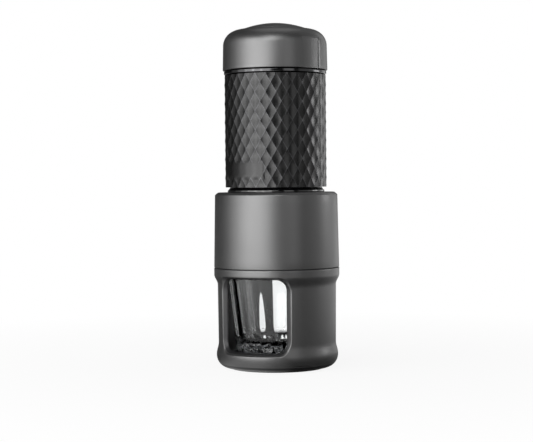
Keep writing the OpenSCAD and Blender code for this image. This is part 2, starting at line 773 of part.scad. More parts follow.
module valve_block() {
    groove_z = z_nozzle + 1;
    head_top = z_head_floor + head_socket;
    color(rubber_black) difference() {
        lathe([[nozzle_bore_r, z_nozzle], [nozzle_r - 0.4, z_nozzle], [nozzle_r, z_nozzle + 0.4],
            [nozzle_r, groove_z], [nozzle_r - seal_groove_d, groove_z],
            [nozzle_r - seal_groove_d, groove_z + 1.2], [nozzle_r, groove_z + 1.2],
            [nozzle_r, z_head], [head_r, z_head], [head_r, head_top], [cylinder_r, head_top],
            [cylinder_r, z_head_floor], [port_bore_r, z_head_floor], [port_bore_r, z_head + 0.8],
            [nozzle_bore_r, z_head + 0.8]]);
        post(ball_seat_r, z_head - eps, z_ball_seat + eps, ball_x);
        post(ball_bore_r, z_ball_seat, z_head_floor + eps, ball_x);
        post(ball_bore_r + 0.4, z_head_floor - retainer_t, z_head_floor + eps, ball_x);
    }
}

module nozzle_seal() {
    groove_z = z_nozzle + 1;
    color(silicone) ring(nozzle_r - seal_groove_d, port_r - run_gap, groove_z + 0.05, groove_z + 1.15);
}

module inlet_ball() {
    color(steel) translate([ball_x, 0, z_ball]) sphere(r = ball_r, $fn = small_fn);
}

module ball_retainer() {
    color(steel) translate([ball_x, 0, 0])
        ring(ball_seat_r, ball_bore_r + 0.4, z_head_floor - retainer_t, z_head_floor);
}

module outlet_valve() {
    flange_z = z_head;
    body_r = nozzle_bore_r - 0.5;
    lip_z = z_nozzle + 1;
    color(silicone) union() {
        post(nozzle_bore_r - run_gap, flange_z, flange_z + 0.8);
        hull() {
            post(body_r, flange_z - 0.1, flange_z + 0.1);
            translate([-body_r, -0.3, lip_z]) cube([2 * body_r, 0.6, 0.2]);
        }
    }
}

module plunger_rod() {
    piston_r = pump_bore_r - pass_gap;
    groove_r = pump_bore_r - 1.9;
    groove_z = z_piston + 1.2;
    groove_top = z_piston + piston_h - 1.2;
    tap_r = screw_r + 0.4;
    color(steel) lathe([[0, z_piston], [piston_r, z_piston], [piston_r, groove_z],
        [groove_r, groove_z], [groove_r, groove_top], [piston_r, groove_top],
        [piston_r, z_piston + piston_h], [rod_r, z_piston + piston_h], [rod_r, z_rod_top],
        [tap_r, z_rod_top], [tap_r, z_rod_top - 12], [0, z_rod_top - 12]]);
}

module plunger_seal() {
    out_r = pump_bore_r - run_gap;
    groove_r = pump_bore_r - 1.9;
    z0 = z_piston + 1.25;
    z1 = z_piston + piston_h - 1.25;
    color(silicone) lathe([[groove_r, z0], [out_r - 0.7, z0], [out_r, z0 + 0.6],
        [out_r, z1 - 0.6], [out_r - 0.7, z1], [groove_r, z1]]);
}

module spring_seat() {
    rim_r = spring_r + wire_d / 2 + 2;
    color(steel) lathe([[rod_r, z_seat], [rim_r, z_seat], [rim_r, z_seat + seat_t],
        [rod_r, z_seat + seat_t]]);
}

// The spring's wire: closed end curls, and even pitch between them
spring_low = z_deck_top + wire_d / 2 + run_gap;
spring_high = z_seat - wire_d / 2 - run_gap;
closed_pitch = wire_d + 0.5;
open_pitch = (spring_high - spring_low - 2 * closed_pitch) / (spring_curls - 2);
function spring_z(t) = t < 1 ? spring_low + closed_pitch * t
    : t > spring_curls - 1 ? spring_high - closed_pitch * (spring_curls - t)
    : spring_low + closed_pitch + open_pitch * (t - 1);
spring_rings = 8;
spring_sides = 6;

module return_spring() {
    last = spring_curls * spring_rings;
    points = [for (i = [0:last]) for (k = [0:spring_sides - 1])
        let (t = i / spring_rings, a = 360 * t, b = 360 * k / spring_sides,
             r = spring_r + wire_d / 2 * cos(b))
        [r * cos(a), r * sin(a), spring_z(t) + wire_d / 2 * sin(b)]];
    faces = concat(
        [for (i = [0:last - 1]) for (k = [0:spring_sides - 1])
            let (m = (k + 1) % spring_sides, a = i * spring_sides, b = a + spring_sides)
            [a + k, b + m, b + k]],
        [for (i = [0:last - 1]) for (k = [0:spring_sides - 1])
            let (m = (k + 1) % spring_sides, a = i * spring_sides, b = a + spring_sides)
            [a + k, a + m, b + m]],
        [[for (k = [0:spring_sides - 1]) spring_sides - 1 - k]],
        [[for (k = [0:spring_sides - 1]) last * spring_sides + k]]);
    color(steel) polyhedron(points, faces);
}
echo(least_spring_gap = min([for (i = [0:spring_rings * (spring_curls - 1)])
    spring_z(i / spring_rings + 1) - spring_z(i / spring_rings)]) - wire_d);

module swivel_washer() {
    color(steel) ring(screw_r + 0.55, rod_r + 3.5, z_rod_top, z_rod_top + washer_t);
}

module plunger_screw() {
    color(steel) translate([0, 0, z_rod_top + washer_t])
        cap_screw(screw_r + 0.35, 4.2, 3, washer_t + 11, 2);
}

module cap_skirt() {
    lug_root = skirt_r - 0.5;
    color(gloss_black) union() {
        lathe([[skirt_in_r, z_skirt], [skirt_r - 0.3, z_skirt], [skirt_r, z_skirt + 0.3],
            [skirt_r, z_hub], [cap_bore_r, z_hub], [cap_bore_r, z_hub + hub_t],
            [rod_r + run_gap, z_hub + hub_t], [rod_r + run_gap, z_hub], [skirt_in_r, z_hub]]);
        around(2, recess_turn - 90) sector(lug_root, lug_r, z_skirt + 0.3, z_skirt + lug_h, 0, lug_angle);
    }
}

module cap_shell() {
    lip_r = crown_plug_r + 0.2;
    seat_r = crown_r + 0.2;
    seat_z = z_crown - crown_seat_t;
    inner_r = crown_r + 0.7;
    outline = concat(
        arc([cap_low_r - edge_r, z_cap + edge_r], [edge_r, edge_r], -90, 0, 3),
        arc([shoulder_r, z_shoulder], [shoulder_w, shoulder_h], 0, 90),
        [[seat_r, z_crown], [seat_r, seat_z], [lip_r, seat_z], [lip_r, cap_ceiling_z]],
        arc([inner_r, z_shoulder], [cap_bore_r - inner_r, cap_ceiling_z - z_shoulder], 90, 0),
        [[cap_bore_r, z_cap]]);
    color(satin_grey) difference() {
        lathe(outline);
        around(2, recess_turn - 90)
            sector(recess_r, cap_low_r + eps, z_cap - eps, z_top, 0, recess_angle);
    }
}

module cap_crown() {
    seat_z = z_crown - crown_seat_t;
    edge_z = z_crown + crown_step;
    dome = [for (i = [curve_n:-1:1]) let (t = i / curve_n)
        [(crown_r - 0.4) * t, mix(z_top, edge_z, t * t)]];
    outline = concat([[0, cap_ceiling_z], [crown_plug_r, cap_ceiling_z], [crown_plug_r, seat_z],
        [crown_r, seat_z], [crown_r, edge_z - 0.4]], dome, [[0, z_top]]);
    color(satin_grey) lathe(outline);
}

cup_holder();
foot_ring();
cup_cushion();
glass_cup();
brew_housing();
holder_seal();
brew_chamber();
outlet_funnel();
spout_tip();
funnel_screws();
basket_gasket();
filter_basket();
water_distributor();
shower_screen();
pump_barrel();
grip_sleeve();
trim_ring();
guide_ring();
water_tank();
tank_gasket();
pump_deck();
deck_seal();
deck_screws();
rod_bush();
pump_cylinder();
cylinder_gasket();
valve_block();
nozzle_seal();
inlet_ball();
ball_retainer();
outlet_valve();
plunger_rod();
plunger_seal();
spring_seat();
return_spring();
swivel_washer();
plunger_screw();
cap_skirt();
cap_shell();
cap_crown();
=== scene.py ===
"""Looks of a handheld manual espresso maker: cup holder, brewing unit, quilted grip and pump cap."""

import logging
import math
from collections.abc import Sequence
from dataclasses import dataclass
from enum import Enum, IntEnum

import bmesh
import bpy
from mathutils import Matrix, Vector, noise


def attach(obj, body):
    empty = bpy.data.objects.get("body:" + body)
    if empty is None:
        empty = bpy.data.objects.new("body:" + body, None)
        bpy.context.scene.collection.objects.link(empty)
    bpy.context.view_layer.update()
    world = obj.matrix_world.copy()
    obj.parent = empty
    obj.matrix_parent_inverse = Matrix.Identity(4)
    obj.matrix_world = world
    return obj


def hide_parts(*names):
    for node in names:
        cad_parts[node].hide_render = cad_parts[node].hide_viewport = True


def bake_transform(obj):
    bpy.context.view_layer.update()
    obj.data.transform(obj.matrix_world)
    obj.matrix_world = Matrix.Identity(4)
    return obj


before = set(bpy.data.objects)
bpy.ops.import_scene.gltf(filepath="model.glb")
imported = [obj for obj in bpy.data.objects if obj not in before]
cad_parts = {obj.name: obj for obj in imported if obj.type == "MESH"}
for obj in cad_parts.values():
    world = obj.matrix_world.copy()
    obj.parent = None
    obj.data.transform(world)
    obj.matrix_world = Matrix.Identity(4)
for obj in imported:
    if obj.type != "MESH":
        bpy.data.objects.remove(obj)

log = logging.getLogger("espresso_maker")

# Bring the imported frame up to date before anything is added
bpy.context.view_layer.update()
# A millimetre, in metres
MM = 0.001
# Degrees from the middle of the front window round to where the photograph was taken from
VIEW_TURN = 26.3
# Spun points nearer the axis than this, in mm, are a pole
ON_AXIS = 1e-4
# Points nearer each other than this, in mm, are one point
SAME_PLACE = 1e-3
# Nearly all values of a noise texture lie between these two
NOISE_SPAN = (0.3, 0.7)
# A mix node's two colour inputs and its colour output, by number, because their names repeat
MIX_A, MIX_B, MIX_OUT = 6, 7, 2

Point = tuple[float, float]
Mesh = bmesh.types.BMesh
Layer = bmesh.types.BMLayerItem
Material = bpy.types.Material
Tree = bpy.types.NodeTree
Socket = bpy.types.NodeSocket
Outputs = bpy.types.NodeOutputs
Source = bpy.types.Node | Socket
Settings = dict[str | int, object]
Links = dict[str | int, Source]


class Body(Enum):
    """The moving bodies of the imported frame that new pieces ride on."""

    HOLDER = "holder"
    CUP = "cup"
    BREWER = "brewer"
    TANK = "tank"
    PLUNGER = "plunger"
    CAP = "cap"


class Slot(Enum):
    """The record's material slots that new pieces take their finish from."""

    SATIN = "satin_body"
    GRIP = "grip"
    CHROME = "dark_chrome"
    GLASS = "glass"
    WIRE = "spring_steel"
    BLACK = "gloss_black"


class Kind(Enum):
    """The kinds of shader node that the finishes and the studio are made of."""

    COORDS = "ShaderNodeTexCoord"
    MAPPING = "ShaderNodeMapping"
    AXES = "ShaderNodeSeparateXYZ"
    JOIN = "ShaderNodeCombineXYZ"
    MATH = "ShaderNodeMath"
    VECTOR = "ShaderNodeVectorMath"
    RANGE = "ShaderNodeMapRange"
    NOISE = "ShaderNodeTexNoise"
    BUMP = "ShaderNodeBump"
    MIX = "ShaderNodeMix"
    RAMP = "ShaderNodeValToRGB"
    RAYS = "ShaderNodeLightPath"
    PRINCIPLED = "ShaderNodeBsdfPrincipled"
    DIFFUSE = "ShaderNodeBsdfDiffuse"
    EMISSION = "ShaderNodeEmission"
    BACKGROUND = "ShaderNodeBackground"
    MIX_SHADER = "ShaderNodeMixShader"
    SURFACE = "ShaderNodeOutputMaterial"
    WORLD = "ShaderNodeOutputWorld"


class Wall(IntEnum):
    """The parts of the cup holder's wall at its windows. Every other point has zero."""

    OUTER = 1
    INNER = 2
    EDGE = 3


class EdgePart(Enum):
    """The parts of the edge round a window, from the outside in."""

    OUTER_LIP = "outer lip"
    JAMB = "jamb"
    INNER_LIP = "inner lip"


# Small helpers


def linear(colour: str) -> tuple[float, float, float, float]:
    """Turn an sRGB hex colour into linear light.

    Args:
        colour: six hex digits with a leading hash.

    Returns:
        Red, green, blue and an alpha of one.
    """
    parts = [int(colour[i : i + 2], 16) / 255 for i in (1, 3, 5)]
    red, green, blue = (c / 12.92 if c <= 0.04045 else ((c + 0.055) / 1.055) ** 2.4 for c in parts)
    return red, green, blue, 1.0


def grey(level: float) -> tuple[float, float, float, float]:
    """Return the grey of a linear level, with an alpha of one."""
    return level, level, level, 1.0


def mix(a: float, b: float, t: float) -> float:
    """Return the value at t between a and b."""
    return a + (b - a) * t


def ease(t: float) -> float:
    """Return t held between 0 and 1 and eased at both ends."""
    t = max(0.0, min(1.0, t))
    return t * t * (3 - 2 * t)


def arc(centre: Point, radii: Point, start: float, end: float, steps: int) -> list[Point]:
    """Points on an elliptical arc in the plane of radius and height.

    Args:
        centre: radius and height of the arc's centre, in mm.
        radii: the two half axes, in mm.
        start: first angle in degrees, from the radius direction.
        end: last angle in degrees.
        steps: the number of chords.

    Returns:
        steps + 1 points.
    """
    turns = [math.radians(mix(start, end, i / steps)) for i in range(steps + 1)]
    return [(centre[0] + radii[0] * math.cos(a), centre[1] + radii[1] * math.sin(a)) for a in turns]


def line(a: Point, b: Point, steps: int) -> list[Point]:
    """Points along a straight line, both ends left out.

    Args:
        a: the point before the first.
        b: the point after the last.
        steps: the number of chords between a and b.

    Returns:
        steps - 1 points.
    """
    return [(mix(a[0], b[0], i / steps), mix(a[1], b[1], i / steps)) for i in range(1, steps)]


def aim(angle: float, radius: float, height: float) -> Vector:
    """Return the point at an angle from the front window, a radius and a height."""
    turn = math.radians(angle)
    return Vector((radius * math.sin(turn), -radius * math.cos(turn), height))


def angle_of(point: Vector) -> float:
    """Return a point's angle from the front window, from -180 to 180 degrees."""
    return math.degrees(math.atan2(point.x, -point.y))


def lathe(bm: Mesh, profile: Sequence[Point], steps: int, closed: bool = True) -> None:
    """Spin a profile about the axis.

    Args:
        bm: the mesh to fill.
        profile: radius and height of each point, in mm.
        steps: the number of facets in a full turn.
        closed: whether the last point joins the first.
    """
    rows = bm.verts.layers.int.new("row")
    verts = []
    for i, (radius, height) in enumerate(profile):
        vert = bm.verts.new((radius, 0.0, height))
        vert[rows] = i
        verts.append(vert)
    ends = verts[1:] + verts[:1] if closed else verts[1:]
    edges = [bm.edges.new((a, b)) for a, b in zip(verts, ends) if max(a.co.x, b.co.x) > ON_AXIS]
    bmesh.ops.spin(
        bm, geom=verts + edges, cent=(0, 0, 0), axis=(0, 0, 1), dvec=(0, 0, 0),
        angle=2 * math.pi, steps=steps, use_merge=True, use_normal_flip=False, use_duplicate=False,
    )
    poles = [v for v in bm.verts if math.hypot(v.co.x, v.co.y) < ON_AXIS]
    if poles:
        bmesh.ops.remove_doubles(bm, verts=poles, dist=SAME_PLACE)


def column_of(vert: bmesh.types.BMVert, steps: int) -> int:
    """Return which facet line of a spun mesh a vertex stands on, counted from +X."""
    turn = math.degrees(math.atan2(vert.co.y, vert.co.x))
    return round(turn / 360 * steps) % steps


def make_piece(bm: Mesh, name: str, material: Material, node: str,
               crease: float = 35.0) -> bpy.types.Object:
    """Turn a mesh in mm into a finished piece, which its sub-assembly then puts on a body.

    Args:
        bm: the mesh, which is freed.
        name: the piece's name.
        material: its material.
        node: the CAD node that it stands for.
        crease: edges sharper than this angle, in degrees, stay sharp.

    Returns:
        The piece.
    """
    bmesh.ops.recalc_face_normals(bm, faces=bm.faces)
    bmesh.ops.transform(bm, matrix=Matrix.Scale(MM, 4), verts=bm.verts)
    mesh = bpy.data.meshes.new(name)
    bm.to_mesh(mesh)
    bm.free()
    mesh.shade_smooth()
    mesh.set_sharp_from_angle(angle=math.radians(crease))
    mesh.materials.append(material)
    piece = bpy.data.objects.new(name, mesh)
    bpy.context.scene.collection.objects.link(piece)
    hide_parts(node)
    log.info("%s: %d faces", name, len(mesh.polygons))
    return piece


# Finishes


def add(tree: Tree, kind: Kind, settings: Settings | None = None,
        links: Links | None = None) -> bpy.types.Node:
    """Add a node to a tree.

    Args:
        tree: the node tree.
        kind: the kind of node.
        settings: attributes of the node, or values of its inputs by name or number.
        links: what feeds its inputs, by name or number. A node gives its first output.

    Returns:
        The node.
    """
    node = tree.nodes.new(kind.value)
    for key, value in (settings or {}).items():
        if isinstance(key, str) and hasattr(node, key):
            setattr(node, key, value)
        else:
            node.inputs[key].default_value = value
    for key, source in (links or {}).items():
        socket = source.outputs[0] if isinstance(source, bpy.types.Node) else source
        tree.links.new(socket, node.inputs[key])
    return node


def bearing(tree: Tree, axes: Outputs) -> Source:
    """Return the angle from the front, in radians, that the X and Y of these axes point at."""
    back = add(tree, Kind.MATH, {"operation": "MULTIPLY", 1: -1.0}, {0: axes["Y"]})
    return add(tree, Kind.MATH, {"operation": "ARCTAN2"}, {0: axes["X"], 1: back})


def bare_material(name: str) -> tuple[Material, Tree]:
    """Make a material without nodes.

    Args:
        name: its name.

    Returns:
        The material and its tree.
    """
    material = bpy.data.materials.new(name)
    material.use_nodes = True
    material.node_tree.nodes.clear()
    return material, material.node_tree


@dataclass(frozen=True)
class Lattice:
    """The grip's crossing ridges, which its shape and its finish share, and how far round they stand."""

    low: float = 115.2
    height: float = 70.9
    around: int = 30
    high: int = 6
    turn: float = 3.2

    @property
    def rise(self) -> float:
        """Half the height of a diamond, in mm."""
        return self.height / (2 * self.high)


@dataclass(frozen=True)
class Finish:
    """One real finish: its colour, its gloss and its fine relief."""

    name: str
    colour: str
    roughness: float
    metallic: float = 0.0
    ior: float = 1.5
    lacquer: float = 0.0
    grain_mm: float = 0.5
    grain_depth_mm: float = 0.01
    smudge_mm: float = 18.0
    smudge: float = 0.04
    drift_mm: float = 45.0
    drift: float = 0.07
    stretch: tuple[float, float, float] = (1.0, 1.0, 1.0)

    def place(self, tree: Tree) -> Source:
        """Return Object coordinates, stretched along the finish's grain."""
        coords = add(tree, Kind.COORDS)
        return add(tree, Kind.MAPPING, {"Scale": self.stretch}, {"Vector": coords.outputs["Object"]})

    def relief(self, tree: Tree, place: Source) -> Source:
        """Return the surface normal, with the finish's fine grain."""
        grain = add(tree, Kind.NOISE, {"Scale": 1 / (self.grain_mm * MM), "Detail": 3.0}, {"Vector": place})
        return add(tree, Kind.BUMP, {"Distance": self.grain_depth_mm * MM}, {"Height": grain})

    def gloss(self, tree: Tree, place: Source) -> Source:
        """The roughness, with faint smudges of handling.

        Args:
            tree: the node tree.
            place: the coordinates of the smudges.

        Returns:
            The roughness.
        """
        smears = add(tree, Kind.NOISE, {"Scale": 1 / (self.smudge_mm * MM), "Detail": 4.0}, {"Vector": place})
        return add(tree, Kind.RANGE, {
            "From Min": NOISE_SPAN[0], "From Max": NOISE_SPAN[1],
            "To Min": self.roughness - self.smudge, "To Max": self.roughness + self.smudge,
        }, {"Value": smears})

    def tint(self, tree: Tree, place: Source) -> Source:
        """The colour, with a slight drift of tone.

        Args:
            tree: the node tree.
            place: the coordinates of the drift.

        Returns:
            The colour.
        """
        base = Vector(linear(self.colour)[:3])
        clouds = add(tree, Kind.NOISE, {"Scale": 1 / (self.drift_mm * MM), "Detail": 2.0}, {"Vector": place})
        return add(tree, Kind.MIX, {
            "data_type": "RGBA", MIX_A: (*(base * (1 - self.drift)), 1.0),
            MIX_B: (*(base * (1 + self.drift)), 1.0),
        }, {"Factor": clouds}).outputs[MIX_OUT]

    def look(self, tree: Tree, place: Source) -> tuple[Settings, Links]:
        """One finish all over.

        Args:
            tree: the node tree.
            place: the coordinates of the patterns.

        Returns:
            The shader's plain values, and what feeds its other inputs.
        """
        return {"Metallic": self.metallic, "IOR": self.ior, "Coat Weight": self.lacquer}, {
            "Base Color": self.tint(tree, place), "Roughness": self.gloss(tree, place),
            "Normal": self.relief(tree, place)}

    def build(self) -> Material:
        """Build the material.

        Returns:
            The material.
        """
        material, tree = bare_material(self.name)
        shader = add(tree, Kind.PRINCIPLED, *self.look(tree, self.place(tree)))
        add(tree, Kind.SURFACE, links={"Surface": shader})
        return material


@dataclass(frozen=True)
class PaintWithDarkInside(Finish):
    """Satin paint outside; a darker, rougher, non-metallic surface inside the bore and on the window's edges.
    """

    inside_colour: str = "#1C1C1D"
    inside_roughness: float = 0.42
    inside_r: float = 37.2
    inside_z: Point = (2.0, 63.9)
    blur: float = 0.1

    def inside_share(self, tree: Tree, place: Source) -> Source:
        """Where the surface is dark, inside the bore and on the window's edges.

        Args:
            tree: the node tree.
            place: Object coordinates.

        Returns:
            One on the dark surface, zero on the paint.
        """
        axes = add(tree, Kind.AXES, links={"Vector": place}).outputs
        flat = add(tree, Kind.JOIN, links={"X": axes["X"], "Y": axes["Y"]})
        reach = add(tree, Kind.VECTOR, {"operation": "LENGTH"}, {0: flat})
        share = add(tree, Kind.RANGE, {
            "From Min": (self.inside_r + self.blur) * MM, "From Max": (self.inside_r - self.blur) * MM,
        }, {"Value": reach.outputs["Value"]})
        for operation, limit in zip(("GREATER_THAN", "LESS_THAN"), self.inside_z):
            within = add(tree, Kind.MATH, {"operation": operation, 1: limit * MM}, {0: axes["Z"]})
            share = add(tree, Kind.MATH, {"operation": "MULTIPLY"}, {0: share, 1: within})
        return share

    def look(self, tree: Tree, place: Source) -> tuple[Settings, Links]:
        """Paint outside and a darker, rougher surface inside.

        Args:
            tree: the node tree.
            place: the coordinates of the patterns.

        Returns:
            The shader's plain values, and what feeds its other inputs.
        """
        share = self.inside_share(tree, place)
        colour = add(tree, Kind.MIX, {"data_type": "RGBA", MIX_B: linear(self.inside_colour)},
                     {"Factor": share, MIX_A: self.tint(tree, place)})
        metal = add(tree, Kind.RANGE, {"To Min": self.metallic, "To Max": 0.0}, {"Value": share})
        gloss = add(tree, Kind.RANGE, {"To Max": self.inside_roughness},
                    {"Value": share, "To Min": self.gloss(tree, place)})
        return {"IOR": self.ior}, {
            "Base Color": colour.outputs[MIX_OUT], "Metallic": metal, "Roughness": gloss,
            "Normal": self.relief(tree, place)}


@dataclass(frozen=True)
class PressedGlass(Finish):
    """Clear soda glass, fire polished, with a crackled base whose colour turns grey."""

    base_colour: str = "#6C6E70"
    base_z: Point = (17.2, 20.0)

    def look(self, tree: Tree, place: Source) -> tuple[Settings, Links]:
        """Clear glass whose colour turns grey towards the base.

        Args:
            tree: the node tree.
            place: the coordinates of the patterns.

        Returns:
            The shader's plain values, and what feeds its other inputs.
        """
        axes = add(tree, Kind.AXES, links={"Vector": place})
        rise = add(tree, Kind.RANGE, {"From Min": self.base_z[0] * MM, "From Max": self.base_z[1] * MM},
                   {"Value": axes.outputs["Z"]})
        tone = add(tree, Kind.MIX, {
            "data_type": "RGBA", MIX_A: linear(self.base_colour), MIX_B: linear(self.colour),
        }, {"Factor": rise})
        return {"Roughness": self.roughness, "IOR": self.ior, "Transmission Weight": 1.0}, {
            "Base Color": tone.outputs[MIX_OUT], "Normal": self.relief(tree, place)}


@dataclass(frozen=True)
class QuiltedGrip(Finish):
    """Moulded grip plastic with a painted highlight, a lighter and more metallic colour, along its ridge
    crests.
    """

    lattice: Lattice = Lattice()
    crest_highlight: str = "#636366"
    crest_mm: float = 0.3
    crest_core: float = 0.3
    crest_highlight_share: float = 0.75
    crest_highlight_metal: float = 0.9
    patch_turn: Point = (-54.2, 11.9)
    patch_z: Point = (121.3, 130.6)

    def crests(self, tree: Tree, place: Source) -> Source:
        """The thin lines of painted highlight where the ridges' crests are, but for the plain patch.

        Args:
            tree: the node tree.
            place: Object coordinates.

        Returns:
            One on the crests, zero off them.
        """
        axes = add(tree, Kind.AXES, links={"Vector": place}).outputs
        turn = bearing(tree, axes)
        around, start = self.lattice.around / math.pi / 2, math.radians(self.lattice.turn)
        across = add(tree, Kind.MATH, {"operation": "MULTIPLY_ADD", 1: around, 2: -start * around}, {0: turn})
        diamond = 2 * self.lattice.rise
        up = add(tree, Kind.MATH, {"operation": "MULTIPLY_ADD", 1: 1 / (diamond * MM),
                                   2: -self.lattice.low / diamond}, {0: axes["Z"]})
        away = []
        for operation in ("ADD", "SUBTRACT"):
            count = add(tree, Kind.MATH, {"operation": operation}, {0: across, 1: up})
            away.append(add(tree, Kind.MATH, {"operation": "PINGPONG", 1: 0.5}, {0: count}))
        near = add(tree, Kind.MATH, {"operation": "MINIMUM"}, {0: away[0], 1: away[1]})
        half = self.crest_mm / diamond
        mask = add(tree, Kind.RANGE, {"From Min": half, "From Max": self.crest_core * half}, {"Value": near})
        left, right = (math.radians(angle) for angle in self.patch_turn)
        clear = add(tree, Kind.MATH, {"operation": "LESS_THAN", 1: left}, {0: turn})
        for operation, limit, value in (
            ("GREATER_THAN", right, turn),
            ("LESS_THAN", self.patch_z[0] * MM, axes["Z"]),
            ("GREATER_THAN", self.patch_z[1] * MM, axes["Z"]),
        ):
            beyond = add(tree, Kind.MATH, {"operation": operation, 1: limit}, {0: value})
            clear = add(tree, Kind.MATH, {"operation": "MAXIMUM"}, {0: clear, 1: beyond})
        return add(tree, Kind.MATH, {"operation": "MULTIPLY"}, {0: mask, 1: clear})

    def look(self, tree: Tree, place: Source) -> tuple[Settings, Links]:
        """Black plastic with a painted highlight on the crests.

        Args:
            tree: the node tree.
            place: the coordinates of the patterns.

        Returns:
            The shader's plain values, and what feeds its other inputs.
        """
        crests = self.crests(tree, place)
        # Painted highlight: the crest lines take a lighter colour and turn partly metallic
        share = add(tree, Kind.MATH, {"operation": "MULTIPLY", 1: self.crest_highlight_share}, {0: crests})
        metal = add(tree, Kind.MATH, {"operation": "MULTIPLY", 1: self.crest_highlight_metal}, {0: crests})
        colour = add(tree, Kind.MIX, {"data_type": "RGBA", MIX_B: linear(self.crest_highlight)},
                     {"Factor": share, MIX_A: self.tint(tree, place)})
        return {"IOR": self.ior}, {
            "Base Color": colour.outputs[MIX_OUT], "Metallic": metal, "Roughness": self.gloss(tree, place),
            "Normal": self.relief(tree, place)}


# Satin paint over aluminium: fine even grain, a broad soft highlight
SATIN_PAINT = Finish("satin_paint_on_aluminium", "#6B6B6B", 0.38, metallic=0.88, grain_mm=0.35,
                     grain_depth_mm=0.004, smudge=0.02)
# The cup holder: the same paint outside, darker and rougher inside and round the windows
PAINT_WITH_DARK_INSIDE = PaintWithDarkInside("satin_paint_dark_inside", "#6B6B6B", 0.38, metallic=0.88, grain_mm=0.35,
                         grain_depth_mm=0.004, smudge=0.02)
# Moulded black ABS under clear lacquer: deep black, with sharp highlights on its bead and edges
GLOSS_ABS = Finish("lacquered_black_abs", "#0B0B0C", 0.12, ior=1.54, grain_mm=6.0, grain_depth_mm=0.003,
                   smudge=0.03, lacquer=1.0)
# Moulded black grip plastic with a slight sheen, as from a polished tool, and a painted highlight along the
# ridge crests
GRIP_PLASTIC = QuiltedGrip("moulded_black_grip", "#0B0B0B", 0.24, grain_mm=0.3, grain_depth_mm=0.002,
                           smudge=0.02)
# Dark chrome plate: a smoked mirror
DARK_CHROME = Finish("dark_chrome_plate", "#555556", 0.14, metallic=1.0, grain_mm=8.0,
                     grain_depth_mm=0.002, smudge=0.02)
# Turned stainless steel: tool marks run round the axis, so the grain is short in height
TURNED_STEEL = Finish("turned_stainless_steel", "#A9A9AB", 0.28, metallic=1.0, grain_mm=1.2,
                      grain_depth_mm=0.006, stretch=(1.0, 1.0, 8.0))
# Pressed stainless sheet: soft, even, slightly cloudy
PRESSED_STEEL = Finish("pressed_stainless_sheet", "#B2B2B4", 0.34, metallic=1.0, grain_mm=0.6,
                       grain_depth_mm=0.004)
# Drawn spring wire: finely scratched all over, half bright
SPRING_WIRE = Finish("drawn_spring_wire", "#9A9A9E", 0.25, metallic=1.0, grain_mm=0.4,
                     grain_depth_mm=0.004)
# Glass-filled nylon: dull black with a fine spark-eroded grain
NYLON = Finish("moulded_black_nylon", "#222224", 0.55, grain_mm=0.45, grain_depth_mm=0.02)
# Food silicone: soft black, near matt
SILICONE = Finish("black_silicone", "#1F1F20", 0.62, ior=1.42, grain_mm=0.8, grain_depth_mm=0.01)
# Pressed clear glass: bright edges, slow waves from the mould
CLEAR_GLASS = PressedGlass("pressed_clear_glass", "#FBFCFC", 0.0, ior=1.5, grain_mm=9.0,
                           grain_depth_mm=0.02)


# Sub-assemblies. Sizes are in mm and angles in degrees. A Point is a radius and a height, or two ends.


